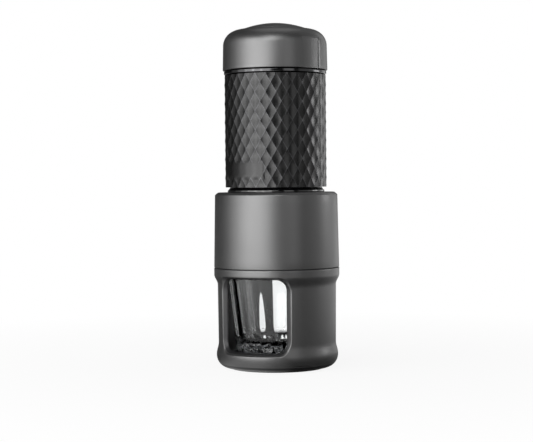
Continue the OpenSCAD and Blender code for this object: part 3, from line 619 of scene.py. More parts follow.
@dataclass
class CupHolder:
    """The cup holder: a waisted tube with two rounded windows, standing on a soft ring."""

    base_r: float = 31.6
    bulge: Point = (38.85, 8.6)
    bulge_flat: float = 0.4
    bulge_rings: Point = (0.7, 1.3)
    stand: float = 0.6
    waist_low: Point = (37.5, 16.5)
    waist_high: Point = (37.8, 53.4)
    collar: Point = (40.0, 59.6)
    collar_rings: Point = (61.0, 62.4)
    top: float = 64.0
    top_edge: float = 0.4
    socket: Point = (37.0, 59.5)
    bore_r: float = 34.5
    bore_edge: float = 0.3
    floor: float = 6.5
    floor_ring: float = 12.0
    fillet: float = 3.0
    under: Point = (18.8, 3.2)
    under_edges: Point = (0.6, 0.3)
    foot: Point = (20.8, 30.4)
    foot_top: float = 1.8
    # The windows' outline, which is larger on the outer face: its sizes at two radii
    window_wall: Point = (34.5, 37.5)
    window_half: Point = (34.9, 39.8)
    window_low: Point = (13.2, 11.3)
    window_high: Point = (57.5, 58.55)
    window_corner: Point = (6.0, 9.0)
    lip_out: float = 0.35
    lip_in: float = 1.3
    arc_steps: int = 10
    side_steps: int = 14
    window_columns: int = 16
    side_columns: int = 18
    edge_steps: int = 4
    fit_rounds: int = 12

    @property
    def rows(self) -> int:
        """The points up one side of a window's outline."""
        return 2 * self.arc_steps + self.side_steps + 1

    @property
    def half_turn(self) -> int:
        """The facets in half a turn of the wall."""
        return self.window_columns + 2 * self.side_columns

    def outer_r(self, z: float) -> float:
        """Radius of the outer surface above the bulge.

        Args:
            z: the height, in mm.

        Returns:
            The radius, in mm.
        """
        if z < self.waist_low[1]:
            start = self.bulge[1] + self.bulge_flat
            t = (z - start) / (self.waist_low[1] - start)
            return mix(self.bulge[0], self.waist_low[0], ease(t))
        if z < self.waist_high[1]:
            t = (z - self.waist_low[1]) / (self.waist_high[1] - self.waist_low[1])
            return mix(self.waist_low[0], self.waist_high[0], t)
        t = (z - self.waist_high[1]) / (self.collar[1] - self.waist_high[1])
        return mix(self.waist_high[0], self.collar[0], ease(t))

    def window_at(self, radius: float, grow: float) -> tuple[float, float, float, float, float]:
        """Sizes of the window's outline on a cylinder.

        Args:
            radius: the cylinder's radius, in mm.
            grow: how much larger than the window the outline is, in mm.

        Returns:
            Half angle, low, high, corner radius and the corner's angle.
        """
        k = (radius - self.window_wall[0]) / (self.window_wall[1] - self.window_wall[0])
        corner = mix(*self.window_corner, k) + grow
        half = mix(*self.window_half, k) + math.degrees(grow / radius)
        return (half, mix(*self.window_low, k) - grow, mix(*self.window_high, k) + grow,
                corner, math.degrees(corner / radius))

    def station(self, row: int, radius: float, grow: float) -> Point:
        """Place of one row of the window's outline.

        Args:
            row: the row, counted from the sill up.
            radius: the radius of the cylinder that the outline lies on, in mm.
            grow: how much larger than the window the outline is, in mm.

        Returns:
            The angle from the window's middle, and the height.
        """
        half, low, high, corner, corner_angle = self.window_at(radius, grow)
        if row <= self.arc_steps:
            turn = math.radians(90 * row / self.arc_steps)
            return half - corner_angle * (1 - math.sin(turn)), low + corner * (1 - math.cos(turn))
        row -= self.arc_steps
        if row <= self.side_steps:
            return half, mix(low + corner, high - corner, row / self.side_steps)
        turn = math.radians(90 * (row - self.side_steps) / self.arc_steps)
        return half - corner_angle * (1 - math.cos(turn)), high - corner * (1 - math.sin(turn))

    def surface_r(self, row: int, grow: float) -> float:
        """Radius at which a row of the window's outline meets the outer surface.

        Args:
            row: the row, counted from the sill up.
            grow: how much larger than the window the outline is, in mm.

        Returns:
            The radius, in mm.
        """
        radius = self.waist_low[0]
        for _ in range(self.fit_rounds):
            radius = self.outer_r(self.station(row, radius, grow)[1])
        return radius

    def warped(self, column: int, half: float) -> float:
        """Angle of a facet line, drawn to the window's edge.

        Args:
            column: the line, counted from one quarter turn before the window's middle.
            half: the angle at which the window's edge stands, in degrees.

        Returns:
            The angle from the window's middle, in degrees.
        """
        side, window = self.side_columns, self.window_columns
        if column <= side:
            return mix(-90, -half, column / side)
        if column <= side + window:
            return mix(-half, half, (column - side) / window)
        return mix(half, 90, (column - side - window) / side)

    def below(self) -> list[Point]:
        """The section from the middle of the underside out to the windows' sills.

        Returns:
            Its points.
        """
        under_r, under_z = self.under
        chamfer, edge = self.under_edges
        heights = [self.bulge[1] + rise for rise in self.bulge_rings]
        return [
            (0.0, under_z), (under_r - chamfer, under_z), (under_r, under_z - chamfer),
            (under_r, self.stand + edge), (under_r + edge, self.stand), (self.foot[0], self.stand),
            (self.foot[0], self.foot_top), (self.foot[1], self.foot_top), (self.foot[1], self.stand),
            *arc((self.base_r, self.bulge[1]), (self.bulge[0] - self.base_r, self.bulge[1] - self.stand),
                 -90, 0, steps=12),
            *((self.outer_r(z), z) for z in heights),
        ]

    def above(self) -> list[Point]:
        """The section from the windows' heads over the top and into the bore.

        Returns:
            Its points.
        """
        return [
            *((self.collar[0], z) for z in self.collar_rings),
            *arc((self.collar[0] - self.top_edge, self.top - self.top_edge), (self.top_edge, self.top_edge),
                 0, 90, steps=4),
            (self.socket[0] + self.bore_edge, self.top), (self.socket[0], self.top - self.bore_edge),
            self.socket, (self.bore_r + self.bore_edge, self.socket[1]),
            (self.bore_r, self.socket[1] - self.bore_edge),
        ]

    def shell(self) -> Mesh:
        """Spin the wall, open the windows in it and round their edges.

        Returns:
            The mesh, in mm.
        """
        rows = range(self.rows)
        skin = [self.surface_r(row, self.lip_out) for row in rows]
        outer = [self.station(row, skin[row], self.lip_out) for row in rows]
        inner = [self.station(row, self.bore_r, self.lip_in) for row in rows]
        below, above = self.below(), self.above()
        first_outer = len(below)
        first_inner = first_outer + self.rows + len(above)
        bm = bmesh.new()
        lathe(bm, [
            *below, *((skin[row], outer[row][1]) for row in rows),
            *above, *((self.bore_r, inner[row][1]) for row in reversed(rows)),
            *arc((self.bore_r - self.fillet, self.floor + self.fillet), (self.fillet, self.fillet),
                 0, -90, steps=6),
            (self.floor_ring, self.floor), (0.0, self.floor),
        ], 2 * self.half_turn)
        index = bm.verts.layers.int.get("row")
        column = bm.verts.layers.int.new("column")
        station = bm.verts.layers.int.new("station")
        wall = bm.verts.layers.int.new("wall")
        for vert in bm.verts:
            outside = vert[index] < first_inner
            row = vert[index] - first_outer if outside else self.rows - 1 - (vert[index] - first_inner)
            if 0 <= row < self.rows:
                vert[wall] = Wall.OUTER if outside else Wall.INNER
            vert[station] = max(0, min(self.rows - 1, row))
            vert[column] = column_of(vert, 2 * self.half_turn)
            radius = math.hypot(vert.co.x, vert.co.y)
            if radius > ON_AXIS:
                half = (outer if outside else inner)[vert[station]][0]
                angle = self.warped(vert[column] % self.half_turn, half)
                vert.co = aim(angle + self.side_turn(vert[column]), radius, vert.co.z)
        self.open_windows(bm)
        return bm

    def side_turn(self, column: int) -> float:
        """Return how far the middle of a facet line's own window is turned, in degrees."""
        return 180.0 if column < self.half_turn else 0.0

    def open_windows(self, bm: Mesh) -> None:
        """Take out the wall inside each window and close its edge with a rounded jamb.

        Args:
            bm: the spun wall.
        """
        column = bm.verts.layers.int.get("column")
        station = bm.verts.layers.int.get("station")
        wall = bm.verts.layers.int.get("wall")
        span = range(self.side_columns, self.side_columns + self.window_columns + 1)
        doomed = [f for f in bm.faces if all(v[column] % self.half_turn in span for v in f.verts)
                  and {v[wall] for v in f.verts} in ({Wall.OUTER}, {Wall.INNER})]
        bmesh.ops.delete(bm, geom=doomed, context="FACES")
        loop = [e for e in bm.edges if e.is_boundary and all(v[wall] == Wall.OUTER for v in e.verts)]
        depth = self.edge_steps
        path = [(EdgePart.OUTER_LIP, i / depth) for i in range(1, depth + 1)]
        path += [(EdgePart.JAMB, 1 / 3), (EdgePart.JAMB, 2 / 3)]
        path += [(EdgePart.INNER_LIP, i / depth) for i in range(depth + 1)]
        for part, t in path:
            made = bmesh.ops.extrude_edge_only(bm, edges=loop)["geom"]
            loop = [g for g in made if isinstance(g, bmesh.types.BMEdge)
                    and all(v in made for v in g.verts)]
            for vert in [g for g in made if isinstance(g, bmesh.types.BMVert)]:
                vert.co = self.edge_point(part, t, vert[station], vert[column])
                vert[wall] = Wall.EDGE
        bmesh.ops.remove_doubles(bm, verts=[v for v in bm.verts if v[wall] > Wall.OUTER], dist=SAME_PLACE)

    def edge_point(self, part: EdgePart, t: float, row: int, column: int) -> Vector:
        """Place a point of the rounded edge round a window.

        Args:
            part: the part of the edge.
            t: how far along that part, from 0 to 1.
            row: the row of the outline.
            column: the facet line.

        Returns:
            The point, in mm.
        """
        skin = self.surface_r(row, self.lip_out)
        edge = self.surface_r(row, 0.0) - self.lip_out
        turn = math.radians(90 * t)
        if part is EdgePart.OUTER_LIP:
            grow = self.lip_out * (1 - math.sin(turn))
            radius = mix(skin, edge, 1 - math.cos(turn))
        elif part is EdgePart.JAMB:
            grow = 0.0
            radius = mix(edge, self.bore_r + self.lip_in, t)
        else:
            grow = self.lip_in * (1 - math.cos(turn))
            radius = self.bore_r + self.lip_in * (1 - math.sin(turn))
        half, height = self.station(row, radius, grow)
        place = column % self.half_turn
        angle = half if place > self.side_columns else -half
        if row in (0, self.rows - 1):
            angle = self.warped(place, half)
        return aim(angle + self.side_turn(column), radius, height)

    def build(self, paint: Material) -> None:
        """Build the holder's shell."""
        shell = make_piece(self.shell(), "cup_holder_shell", paint, "cup_holder")
        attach(shell, Body.HOLDER.value)


@dataclass
class GlassCup:
    """The small glass cup: a thin rim, a wall that thickens downwards and a thick crackled base."""

    foot_z: float = 8.0
    height: float = 53.5
    base_r: float = 26.0
    rim_r: float = 31.7
    wall: float = 1.4
    low_wall: float = 3.2
    thin_h: float = 11.5
    base_t: float = 9.5
    heel: float = 2.0
    heel_flat: float = 4.0
    well: float = 4.0
    kick: float = 0.8
    crackle: float = 1.2
    crackle_mm: float = 2.2
    crackle_top: float = 11.5
    crackle_fade: float = 3.0
    crackle_under: float = 0.5
    crackle_floor: float = 0.7
    flutes: int = 14
    flute_turn: float = 11.1
    flute: Point = (0.31, 0.44)
    flute_top: float = 1.5
    flute_fade: float = 3.0
    near: float = 0.05
    skin: float = 0.2
    steps: int = 240

    @property
    def kick_r(self) -> float:
        """The radius of the hollow under the base, in mm."""
        return self.base_r - self.heel - self.heel_flat

    def radius_at(self, rise: float) -> float:
        """Return the outer radius at a height above the base, in mm."""
        return mix(self.base_r, self.rim_r, rise / self.height)

    def profile(self) -> list[Point]:
        """The cup's section from the middle of its underside to the middle of its floor.

        Returns:
            Its points.
        """
        lean = math.degrees(math.atan((self.rim_r - self.base_r) / self.height))
        lip = self.wall / 2
        top = self.foot_z + self.height
        inner = self.foot_z + self.base_t
        well_r = self.radius_at(self.base_t + self.well) - self.low_wall - self.well
        thin = self.height - self.thin_h
        bend = (self.radius_at(thin) - self.wall, self.foot_z + thin)
        under = [(float(r), self.foot_z + self.kick) for r in range(int(self.kick_r))]
        heel = arc((self.radius_at(self.heel) - self.heel, self.foot_z + self.heel),
                   (self.heel, self.heel), -90, -lean, steps=6)
        rim = arc((self.rim_r - lip, top - lip), (lip, lip), -lean, 180 - lean, steps=10)
        well = arc((well_r, inner + self.well), (self.well, self.well), 0, -90, steps=10)
        floor = [(float(r), inner) for r in range(int(well_r) - 1, -1, -1)]
        rough = (self.radius_at(self.crackle_top), self.foot_z + self.crackle_top)
        return [
            *under, (self.kick_r, self.foot_z), *heel, *line(heel[-1], rough, steps=16), rough,
            *line(rough, rim[0], steps=12), *rim, *line(rim[-1], bend, steps=5), bend,
            *line(bend, well[0], steps=12), *well, *floor,
        ]

    def formed(self, point: Vector) -> Vector:
        """Crackle the base and flute the inner side of the wall.

        Args:
            point: a point of the plain cup, in mm.

        Returns:
            Where it goes.
        """
        radius, angle = math.hypot(point.x, point.y), angle_of(point)
        rise = point.z - self.foot_z
        dent = self.crackle * (0.5 + noise.noise(point / self.crackle_mm))
        if radius < self.kick_r - 1 and rise < self.kick + self.near:
            return Vector((point.x, point.y, point.z + self.crackle_under * dent))
        if abs(rise - self.base_t) < self.near:
            return Vector((point.x, point.y, point.z - self.crackle_floor * dent))
        if radius > self.radius_at(rise) - self.skin:
            fade = ease((self.crackle_top - rise) / self.crackle_fade)
            return aim(angle, radius - dent * fade, point.z)
        if rise > self.base_t + self.well - self.near:
            down = (self.height - rise) / (self.height - self.base_t - self.well)
            fade = min(1.0, max(0.0, self.height - self.flute_top - rise) / self.flute_fade)
            wave = math.cos(math.radians(self.flutes * (angle - self.flute_turn)))
            return aim(angle, radius - mix(*self.flute, down) * fade * wave, point.z)
        return point

    def build(self, glass: Material) -> None:
        """Build the cup.

        Args:
            glass: its material.
        """
        bm = bmesh.new()
        lathe(bm, self.profile(), self.steps, closed=False)
        for vert in bm.verts:
            vert.co = self.formed(vert.co)
        cup = make_piece(bm, "glass_cup_body", glass, "glass_cup")
        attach(cup, Body.CUP.value)


@dataclass
class BrewBody:
    """The plain middle body, with the spigot that enters the cup holder."""

    seam: float = 64.3
    low_r: float = 39.95
    high_r: float = 39.1
    top: float = 112.0
    chamfer: float = 2.0
    # In and down from the top's outer corner
    shoulder: tuple[Point, ...] = ((0.05, 1.75), (0.2, 1.45), (1.65, 0.28), (2.0, 0.06), (2.4, 0.0))
    mouth_r: float = 31.0
    mouth_edge: float = 0.35
    top_t: float = 2.5
    bore_r: float = 36.9
    ledge: float = 66.5
    spigot: Point = (34.0, 36.7)
    spigot_z: float = 59.8
    spigot_edge: float = 0.3
    groove: Point = (61.3, 62.9)
    groove_r: float = 35.6
    edge: float = 0.4
    steps: int = 160

    def build(self, paint: Material) -> None:
        """Build the housing.

        Args:
            paint: its material.
        """
        low, high = (self.low_r, self.seam), (self.high_r, self.top - self.chamfer)
        inner, outer = self.spigot
        bm = bmesh.new()
        lathe(bm, [
            (inner, self.spigot_z), (outer - self.spigot_edge, self.spigot_z),
            (outer, self.spigot_z + self.spigot_edge), (outer, self.groove[0]),
            (self.groove_r, self.groove[0]), (self.groove_r, self.groove[1]),
            (outer, self.groove[1]), (outer, self.seam),
            *arc((self.low_r - self.edge, self.seam + self.edge), (self.edge, self.edge), -90, 0, steps=5),
            *line(low, high, steps=8), high, *((self.high_r - x, self.top - z) for x, z in self.shoulder),
            (self.mouth_r + self.mouth_edge, self.top), (self.mouth_r, self.top - self.mouth_edge),
            (self.mouth_r, self.top - self.top_t), (self.bore_r, self.top - self.top_t),
            (self.bore_r, self.ledge), (inner, self.ledge),
        ], self.steps)
        body = make_piece(bm, "brew_body_shell", paint, "brew_housing")
        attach(body, Body.BREWER.value)


@dataclass
class Grip:
    """The quilted grip: dished diamonds between ridges, with one plain patch."""

    lattice: Lattice = Lattice()
    ridge_r: float = 32.43
    bore_r: float = 30.0
    bore_edges: Point = (0.6, 0.3)
    depth: float = 0.55
    fine: int = 5
    patch_angle: float = -21.2
    patch_half: float = 32.5
    patch_z: Point = (121.7, 130.2)
    patch_inset: float = 0.12
    patch_fade: float = 1.6
    end_depth: float = 0.25
    crease: float = 9.0

    def dish(self, angle: float, height: float) -> float:
        """Depth below the ridges at a place on the grip.

        Args:
            angle: the angle from the lattice's own start, in degrees.
            height: the height above the grip's lower edge, in mm.

        Returns:
            The depth, in mm.
        """
        x, y = angle / (180 / self.lattice.around), height / self.lattice.rise
        u, v = (x + y) / 2, (x - y) / 2
        du, dv = 2 * (u - math.floor(u)) - 1, 2 * (v - math.floor(v)) - 1
        across, along = (du + dv) / 2, (du - dv) / 2
        return self.depth * max(0.0, 1 - across * across - along * along)

    def on_ridge(self, count: int) -> bool:
        """Return whether facet lines of this joint count, column and row, meet on a ridge."""
        quarter = self.lattice.around * self.fine // 2
        return (count + quarter) % (2 * self.fine) == 0

    def patch_share(self, angle: float, height: float) -> float:
        """How far a place belongs to the plain patch.

        Args:
            angle: the angle from the front window, in degrees.
            height: the height, in mm.

        Returns:
            One on the patch, falling to zero beside it.
        """
        turn = (angle - self.patch_angle + 180) % 360 - 180
        beside = math.radians(abs(turn) - self.patch_half) * self.ridge_r
        beyond = max(self.patch_z[0] - height, height - self.patch_z[1])
        return 1 - ease(max(beside, beyond) / self.patch_fade)

    def fold(self, bm: Mesh, index: Layer, column: Layer, rows: int) -> None:
        """Split the facets along the ridges, so that each crest is one straight edge.

        Args:
            bm: the spun sleeve.
            index: the layer that holds each vertex's row.
            column: the layer that holds each vertex's facet line.
            rows: the rows of facets on the outside.
        """
        outside = [f for f in bm.faces if all(v[index] <= rows for v in f.verts)]
        for face in outside:
            for a, b in ((0, 2), (1, 3)):
                pair = (face.verts[a], face.verts[b])
                if any(all(self.on_ridge(v[column] + turn * v[index]) for v in pair) for turn in (1, -1)):
                    bmesh.utils.face_split(face, *pair)
                    break

    def build(self, plastic: Material) -> None:
        """Build the grip.

        Args:
            plastic: its material.
        """
        low, height = self.lattice.low, self.lattice.height
        steps = 2 * self.lattice.around * self.fine
        rows = 2 * self.lattice.high * self.fine
        top = low + height
        inset, edge = self.bore_edges
        bm = bmesh.new()
        lathe(bm, [
            *((self.ridge_r, low + height * i / rows) for i in range(rows + 1)),
            (self.bore_r + inset, top), (self.bore_r, top - edge), (self.bore_r, low + edge),
            (self.bore_r + inset, low),
        ], steps)
        index = bm.verts.layers.int.get("row")
        column = bm.verts.layers.int.new("column")
        for vert in bm.verts:
            vert[column] = column_of(vert, steps)
        self.fold(bm, index, column, rows)
        for vert in bm.verts:
            if vert[index] > rows:
                continue
            depth = self.dish(angle_of(vert.co), vert.co.z - low)
            angle = angle_of(vert.co) + self.lattice.turn
            depth = mix(depth, self.patch_inset, self.patch_share(angle, vert.co.z))
            if vert[index] in (0, rows):
                depth = max(depth, self.end_depth)
            vert.co = aim(angle, self.ridge_r - depth, vert.co.z)
        sleeve = make_piece(bm, "grip_quilt", plastic, "grip_sleeve", self.crease)
        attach(sleeve, Body.TANK.value)


@dataclass
class PumpBarrel:
    """The gloss barrel inside the grip, with its thread, and the bead and groove of its neck."""

    bore_r: float = 28.7
    thread_r: float = 30.4
    thread: Point = (105.0, 111.4)
    thread_ends: Point = (0.3, 0.2)
    thread_cut: float = 0.35
    thread_rows: int = 28
    pitch: float = 2.0
    bead_r: float = 30.85
    bead: Point = (112.15, 113.35)
    bead_edge: float = 0.25
    bead_foot: float = 0.6
    slope: Point = (0.5, 0.1)
    groove_r: float = 29.2
    grip_z: float = 115.2
    outer_r: float = 30.0
    top: float = 186.3
    shelf: Point = (146.0, 149.0)
    shelf_r: float = 21.0
    steps: int = 160
    crease: float = 40.0

    def profile(self) -> list[Point]:
        """The barrel's section, from the foot of its thread up the outside and down the bore.

        Returns:
            Its points.
        """
        low, high = self.thread
        first, last = low + self.thread_ends[0], high - self.thread_ends[1]
        edge, foot_r = self.bead_edge, self.bead_r - self.bead_foot
        across, up = self.slope
        return [
            (self.bore_r, low), (self.thread_r - self.thread_ends[0], low),
            *((self.thread_r, mix(first, last, i / self.thread_rows)) for i in range(self.thread_rows + 1)),
            (foot_r, high), (foot_r, self.bead[0]),
            *arc((self.bead_r - edge, self.bead[0] + edge), (edge, edge), -90, 0, steps=4),
            *arc((self.bead_r - edge, self.bead[1] - edge), (edge, edge), 0, 90, steps=4),
            (self.bead_r - across, self.bead[1] + up), (self.groove_r, self.grip_z - up),
            (self.groove_r, self.grip_z), (self.outer_r, self.grip_z), (self.outer_r, self.top),
            (self.bore_r, self.top), (self.bore_r, self.shelf[1]), (self.shelf_r, self.shelf[1]),
            (self.shelf_r, self.shelf[0]), (self.bore_r, self.shelf[0]),
        ]

    def build(self, plastic: Material) -> None:
        """Build the barrel.

        Args:
            plastic: its material.
        """
        bm = bmesh.new()
        lathe(bm, self.profile(), self.steps)
        for vert in bm.verts:
            radius = math.hypot(vert.co.x, vert.co.y)
            on_thread = abs(radius - self.thread_r) < SAME_PLACE
            if on_thread and self.thread[0] < vert.co.z < self.thread[1]:
                wave = math.cos(math.radians(360 * vert.co.z / self.pitch - angle_of(vert.co)))
                vert.co = aim(angle_of(vert.co), radius - self.thread_cut * (0.5 - 0.5 * wave), vert.co.z)
        barrel = make_piece(bm, "pump_barrel_gloss", plastic, "pump_barrel", self.crease)
        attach(barrel, Body.TANK.value)


@dataclass
class TrimRing:
    """The polished ring between the grip and the cap."""

    low: float = 186.3
    top: float = 189.0
    outer_r: float = 32.6
    grip_r: float = 28.8
    lip_r: float = 27.8
    lip_t: float = 1.4
    waist_r: float = 31.6
    slopes: Point = (0.6, 0.4)
    edge: float = 0.2
    edge_turn: float = 60.0
    steps: int = 160

    def build(self, chrome: Material) -> None:
        """Build the ring.

        Args:
            chrome: its material.
        """
        edge, edge_r = self.edge, self.outer_r - self.edge
        bm = bmesh.new()
        lathe(bm, [
            (self.grip_r, self.low), (self.waist_r, self.low),
            *arc((edge_r, self.low + self.slopes[0] + edge), (edge, edge), -self.edge_turn, 0, steps=4),
            *arc((edge_r, self.top - self.slopes[1] - edge), (edge, edge), 0, self.edge_turn, steps=4),
            (self.waist_r, self.top), (self.lip_r, self.top), (self.lip_r, self.top - self.lip_t),
            (self.grip_r, self.top - self.lip_t),
        ], self.steps)
        ring = make_piece(bm, "trim_ring_polished", chrome, "trim_ring")
        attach(ring, Body.TANK.value)


@dataclass
class Cap:
    """The turning cap: a shell with two shallow grip recesses, and a low crown."""

    low: float = 189.3
    low_r: float = 33.36
    edge: float = 0.4
    shoulder: Point = (22.4, 205.0)
    shoulder_size: Point = (10.63, 10.1)
    bore_r: float = 31.1
    bore_round: float = 0.7
    ceiling: float = 212.4
    seat_r: float = 20.5
    seat_z: float = 213.7
    seat_depth: Point = (1.15, 1.4)
    seat_edge: float = 0.25
    lip_r: float = 18.5
    crown_r: float = 20.3
    crown_plug_r: float = 18.3
    crown_low_edge: float = 0.2
    crown_edge: float = 0.45
    crown_edge_turn: float = 75.0
    crown_side: float = 215.7
    crown_step: float = 0.03
    crown_rings: int = 20
    top: float = 219.4
    recess_r: float = 32.45
    recess_angle: float = 26.0
    recess_wall: float = 0.55
    recess_depth: float = 2.0
    recess_turn: float = 70.8
    recess_columns: int = 22
    wall_columns: int = 2
    steps: int = 160
    crease: float = 50.0

    def shell(self) -> Mesh:
        """Spin the shell and press the two recesses into it.

        Returns:
            The mesh, in mm.
        """
        inner_r = self.crown_r + self.bore_round
        skirt = arc((self.low_r - self.edge, self.low + self.edge), (self.edge, self.edge), -90, 0, steps=4)
        dome = arc(self.shoulder, self.shoulder_size, 0, 90, steps=24)
        outside = [*skirt, *line(skirt[-1], dome[0], steps=8), *dome]
        bm = bmesh.new()
        lathe(bm, [
            *outside,
            (self.seat_r + self.seat_edge, self.seat_z + self.seat_depth[1]),
            (self.seat_r, self.seat_z + self.seat_depth[0]), (self.seat_r, self.seat_z),
            (self.lip_r, self.seat_z), (self.lip_r, self.ceiling),
            *arc((inner_r, self.shoulder[1]), (self.bore_r - inner_r, self.ceiling - self.shoulder[1]),
                 90, 0, steps=10),
            (self.bore_r, self.low),
        ], self.steps)
        index = bm.verts.layers.int.get("row")
        half, wall = self.recess_angle / 2, self.recess_wall
        stations = [-half - wall, -half - wall / 2, -half, half, half + wall / 2, half + wall]
        for vert in bm.verts:
            column = column_of(vert, self.steps)
            angle = self.spread(column % (self.steps // 2), stations)
            radius = math.hypot(vert.co.x, vert.co.y)
            if vert[index] < len(outside):
                limit = self.recess_r + ease((abs(angle) - half) / wall) * self.recess_depth
                radius = min(radius, limit)
            rear = 180 if column >= self.steps // 2 else 0
            vert.co = aim(angle + self.recess_turn + rear, radius, vert.co.z)
        return bm

    def spread(self, column: int, stations: list[float]) -> float:
        """Angle of a facet line, gathered at the edges of a recess.

        Args:
            column: the line within its half turn.
            stations: the angles of the recess's edges, in degrees.

        Returns:
            The angle from the recess's middle, from -90 to 90 degrees.
        """
        middle, wall = self.recess_columns, self.wall_columns
        side = (self.steps // 2 - middle - 2 * wall) // 2
        if column <= side:
            return mix(-90, stations[0], column / side)
        column -= side
        if column <= wall:
            return stations[column]
        column -= wall
        if column <= middle:
            return mix(stations[wall], stations[wall + 1], column / middle)
        column -= middle
        if column <= wall:
            return stations[wall + 1 + column]
        return mix(stations[-1], 90, (column - wall) / side)

    def crown(self) -> Mesh:
        """Spin the crown disc.

        Returns:
            The mesh, in mm.
        """
        dome = [(self.crown_r * t, mix(self.top, self.crown_side + self.crown_step, t * t))
                for t in (i / self.crown_rings for i in range(self.crown_rings - 1, 0, -1))]
        bm = bmesh.new()
        lathe(bm, [
            (0.0, self.ceiling), (self.crown_plug_r, self.ceiling), (self.crown_plug_r, self.seat_z),
            (self.crown_r - self.crown_low_edge, self.seat_z),
            (self.crown_r, self.seat_z + self.crown_low_edge),
            *arc((self.crown_r - self.crown_edge, self.crown_side - self.crown_edge),
                 (self.crown_edge, self.crown_edge), 0, self.crown_edge_turn, steps=5),
            *dome, (0.0, self.top),
        ], self.steps, closed=False)
        return bm

    def build(self, paint: Material) -> None:
        """Build the shell and the crown.

        Args:
            paint: their material.
        """
        shell = make_piece(self.shell(), "cap_shell_formed", paint, "cap_shell", self.crease)
        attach(shell, Body.CAP.value)
        crown = make_piece(self.crown(), "cap_crown_disc", paint, "cap_crown")
        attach(crown, Body.CAP.value)


@dataclass
class ReturnSpring:
    """The return spring, which stretches between the pump deck and its seat."""

    coil_r: float = 9.7
    wire_r: float = 0.8
    low: float = 153.35
    high: float = 196.15
    ends: Point = (152.5, 197.0)
    curls: int = 11
    closed_pitch: float = 2.1
    ring_sides: int = 12
    rings: int = 28
    crease: float = 50.0

    def build(self, wire: Material) -> None:
        """Wind the spring.

        Args:
            wire: its material.
        """
        bm = bmesh.new()
        turned = Matrix.Translation((self.coil_r, 0, self.low)) @ Matrix.Rotation(math.pi / 2, 4, "X")
        made = bmesh.ops.create_circle(bm, cap_ends=False, radius=self.wire_r, segments=self.ring_sides,
                                       matrix=turned)
        geom: list[object] = list({e for v in made["verts"] for e in v.link_edges}) + made["verts"]
        open_pitch = (self.high - self.low - 2 * self.closed_pitch) / (self.curls - 2)
        for turns, pitch in ((1, self.closed_pitch), (self.curls - 2, open_pitch), (1, self.closed_pitch)):
            geom = bmesh.ops.spin(
                bm, geom=geom, cent=(0, 0, 0), axis=(0, 0, 1), dvec=(0, 0, pitch / self.rings),
                angle=2 * math.pi * turns, steps=turns * self.rings, use_merge=False, use_normal_flip=False,
                use_duplicate=False)["geom_last"]
        bmesh.ops.holes_fill(bm, edges=[e for e in bm.edges if e.is_boundary], sides=0)
        spring = make_piece(bm, "return_spring_wire", wire, "return_spring", self.crease)
        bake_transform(spring)


@dataclass
class InnerParts:
    """The nodes of the frame that keep their shape and get their real finish."""

    steel: tuple[str, ...] = ("filter_basket", "shower_screen")
    turned: tuple[str, ...] = (
        "water_tank", "pump_cylinder", "plunger_rod", "spring_seat", "swivel_washer", "plunger_screw",
        "funnel_screws", "deck_screws", "inlet_ball", "ball_retainer")
    nylon: tuple[str, ...] = (
        "brew_chamber", "outlet_funnel", "water_distributor", "pump_deck", "valve_block")
    silicone: tuple[str, ...] = (
        "foot_ring", "cup_cushion", "holder_seal", "spout_tip", "basket_gasket", "guide_ring",
        "tank_gasket", "deck_seal", "rod_bush", "cylinder_gasket", "nozzle_seal", "outlet_valve",
        "plunger_seal")
    gloss: tuple[str, ...] = ("cap_skirt",)

    def dress(self, steel: Material, turned: Material, nylon: Material, silicone: Material,
              gloss: Material) -> None:
        """Give each node its material.

        Args:
            steel: for the pressed sheet.
            turned: for the turned metal and the screws.
            nylon: for the hard mouldings.
            silicone: for the seals and soft feet.
            gloss: for the cap's skirt, which shows when the cap is up.
        """
        for names, material in ((self.steel, steel), (self.turned, turned), (self.nylon, nylon),
                                (self.silicone, silicone), (self.gloss, gloss)):
            for name in names:
                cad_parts[name].data.materials[0] = material
                log.info("%s: %s", name, material.name)


# The studio, in metres


@dataclass(frozen=True)
class Softbox:
    """A soft lamp on a stand, aimed at the maker. Its angle is counted from the camera's."""

    name: str
    angle: float
    elevation: float
    distance: float
    size: Point
    power: float
    aim_height: float = 0.11

    def build(self) -> None:
        """Hang the lamp."""
        data = bpy.data.lights.new(self.name, "AREA")
        data.shape = "RECTANGLE"
        data.size, data.size_y = self.size
        data.energy = self.power
        lamp = bpy.data.objects.new(self.name, data)
        bpy.context.scene.collection.objects.link(lamp)
        rise = math.radians(self.elevation)
        lamp.location = aim(VIEW_TURN + self.angle, self.distance * math.cos(rise),
                            self.aim_height + self.distance * math.sin(rise))
        sight = Vector((0, 0, self.aim_height)) - lamp.location
        lamp.rotation_euler = sight.to_track_quat("-Z", "Y").to_euler()
        lamp.visible_camera = False


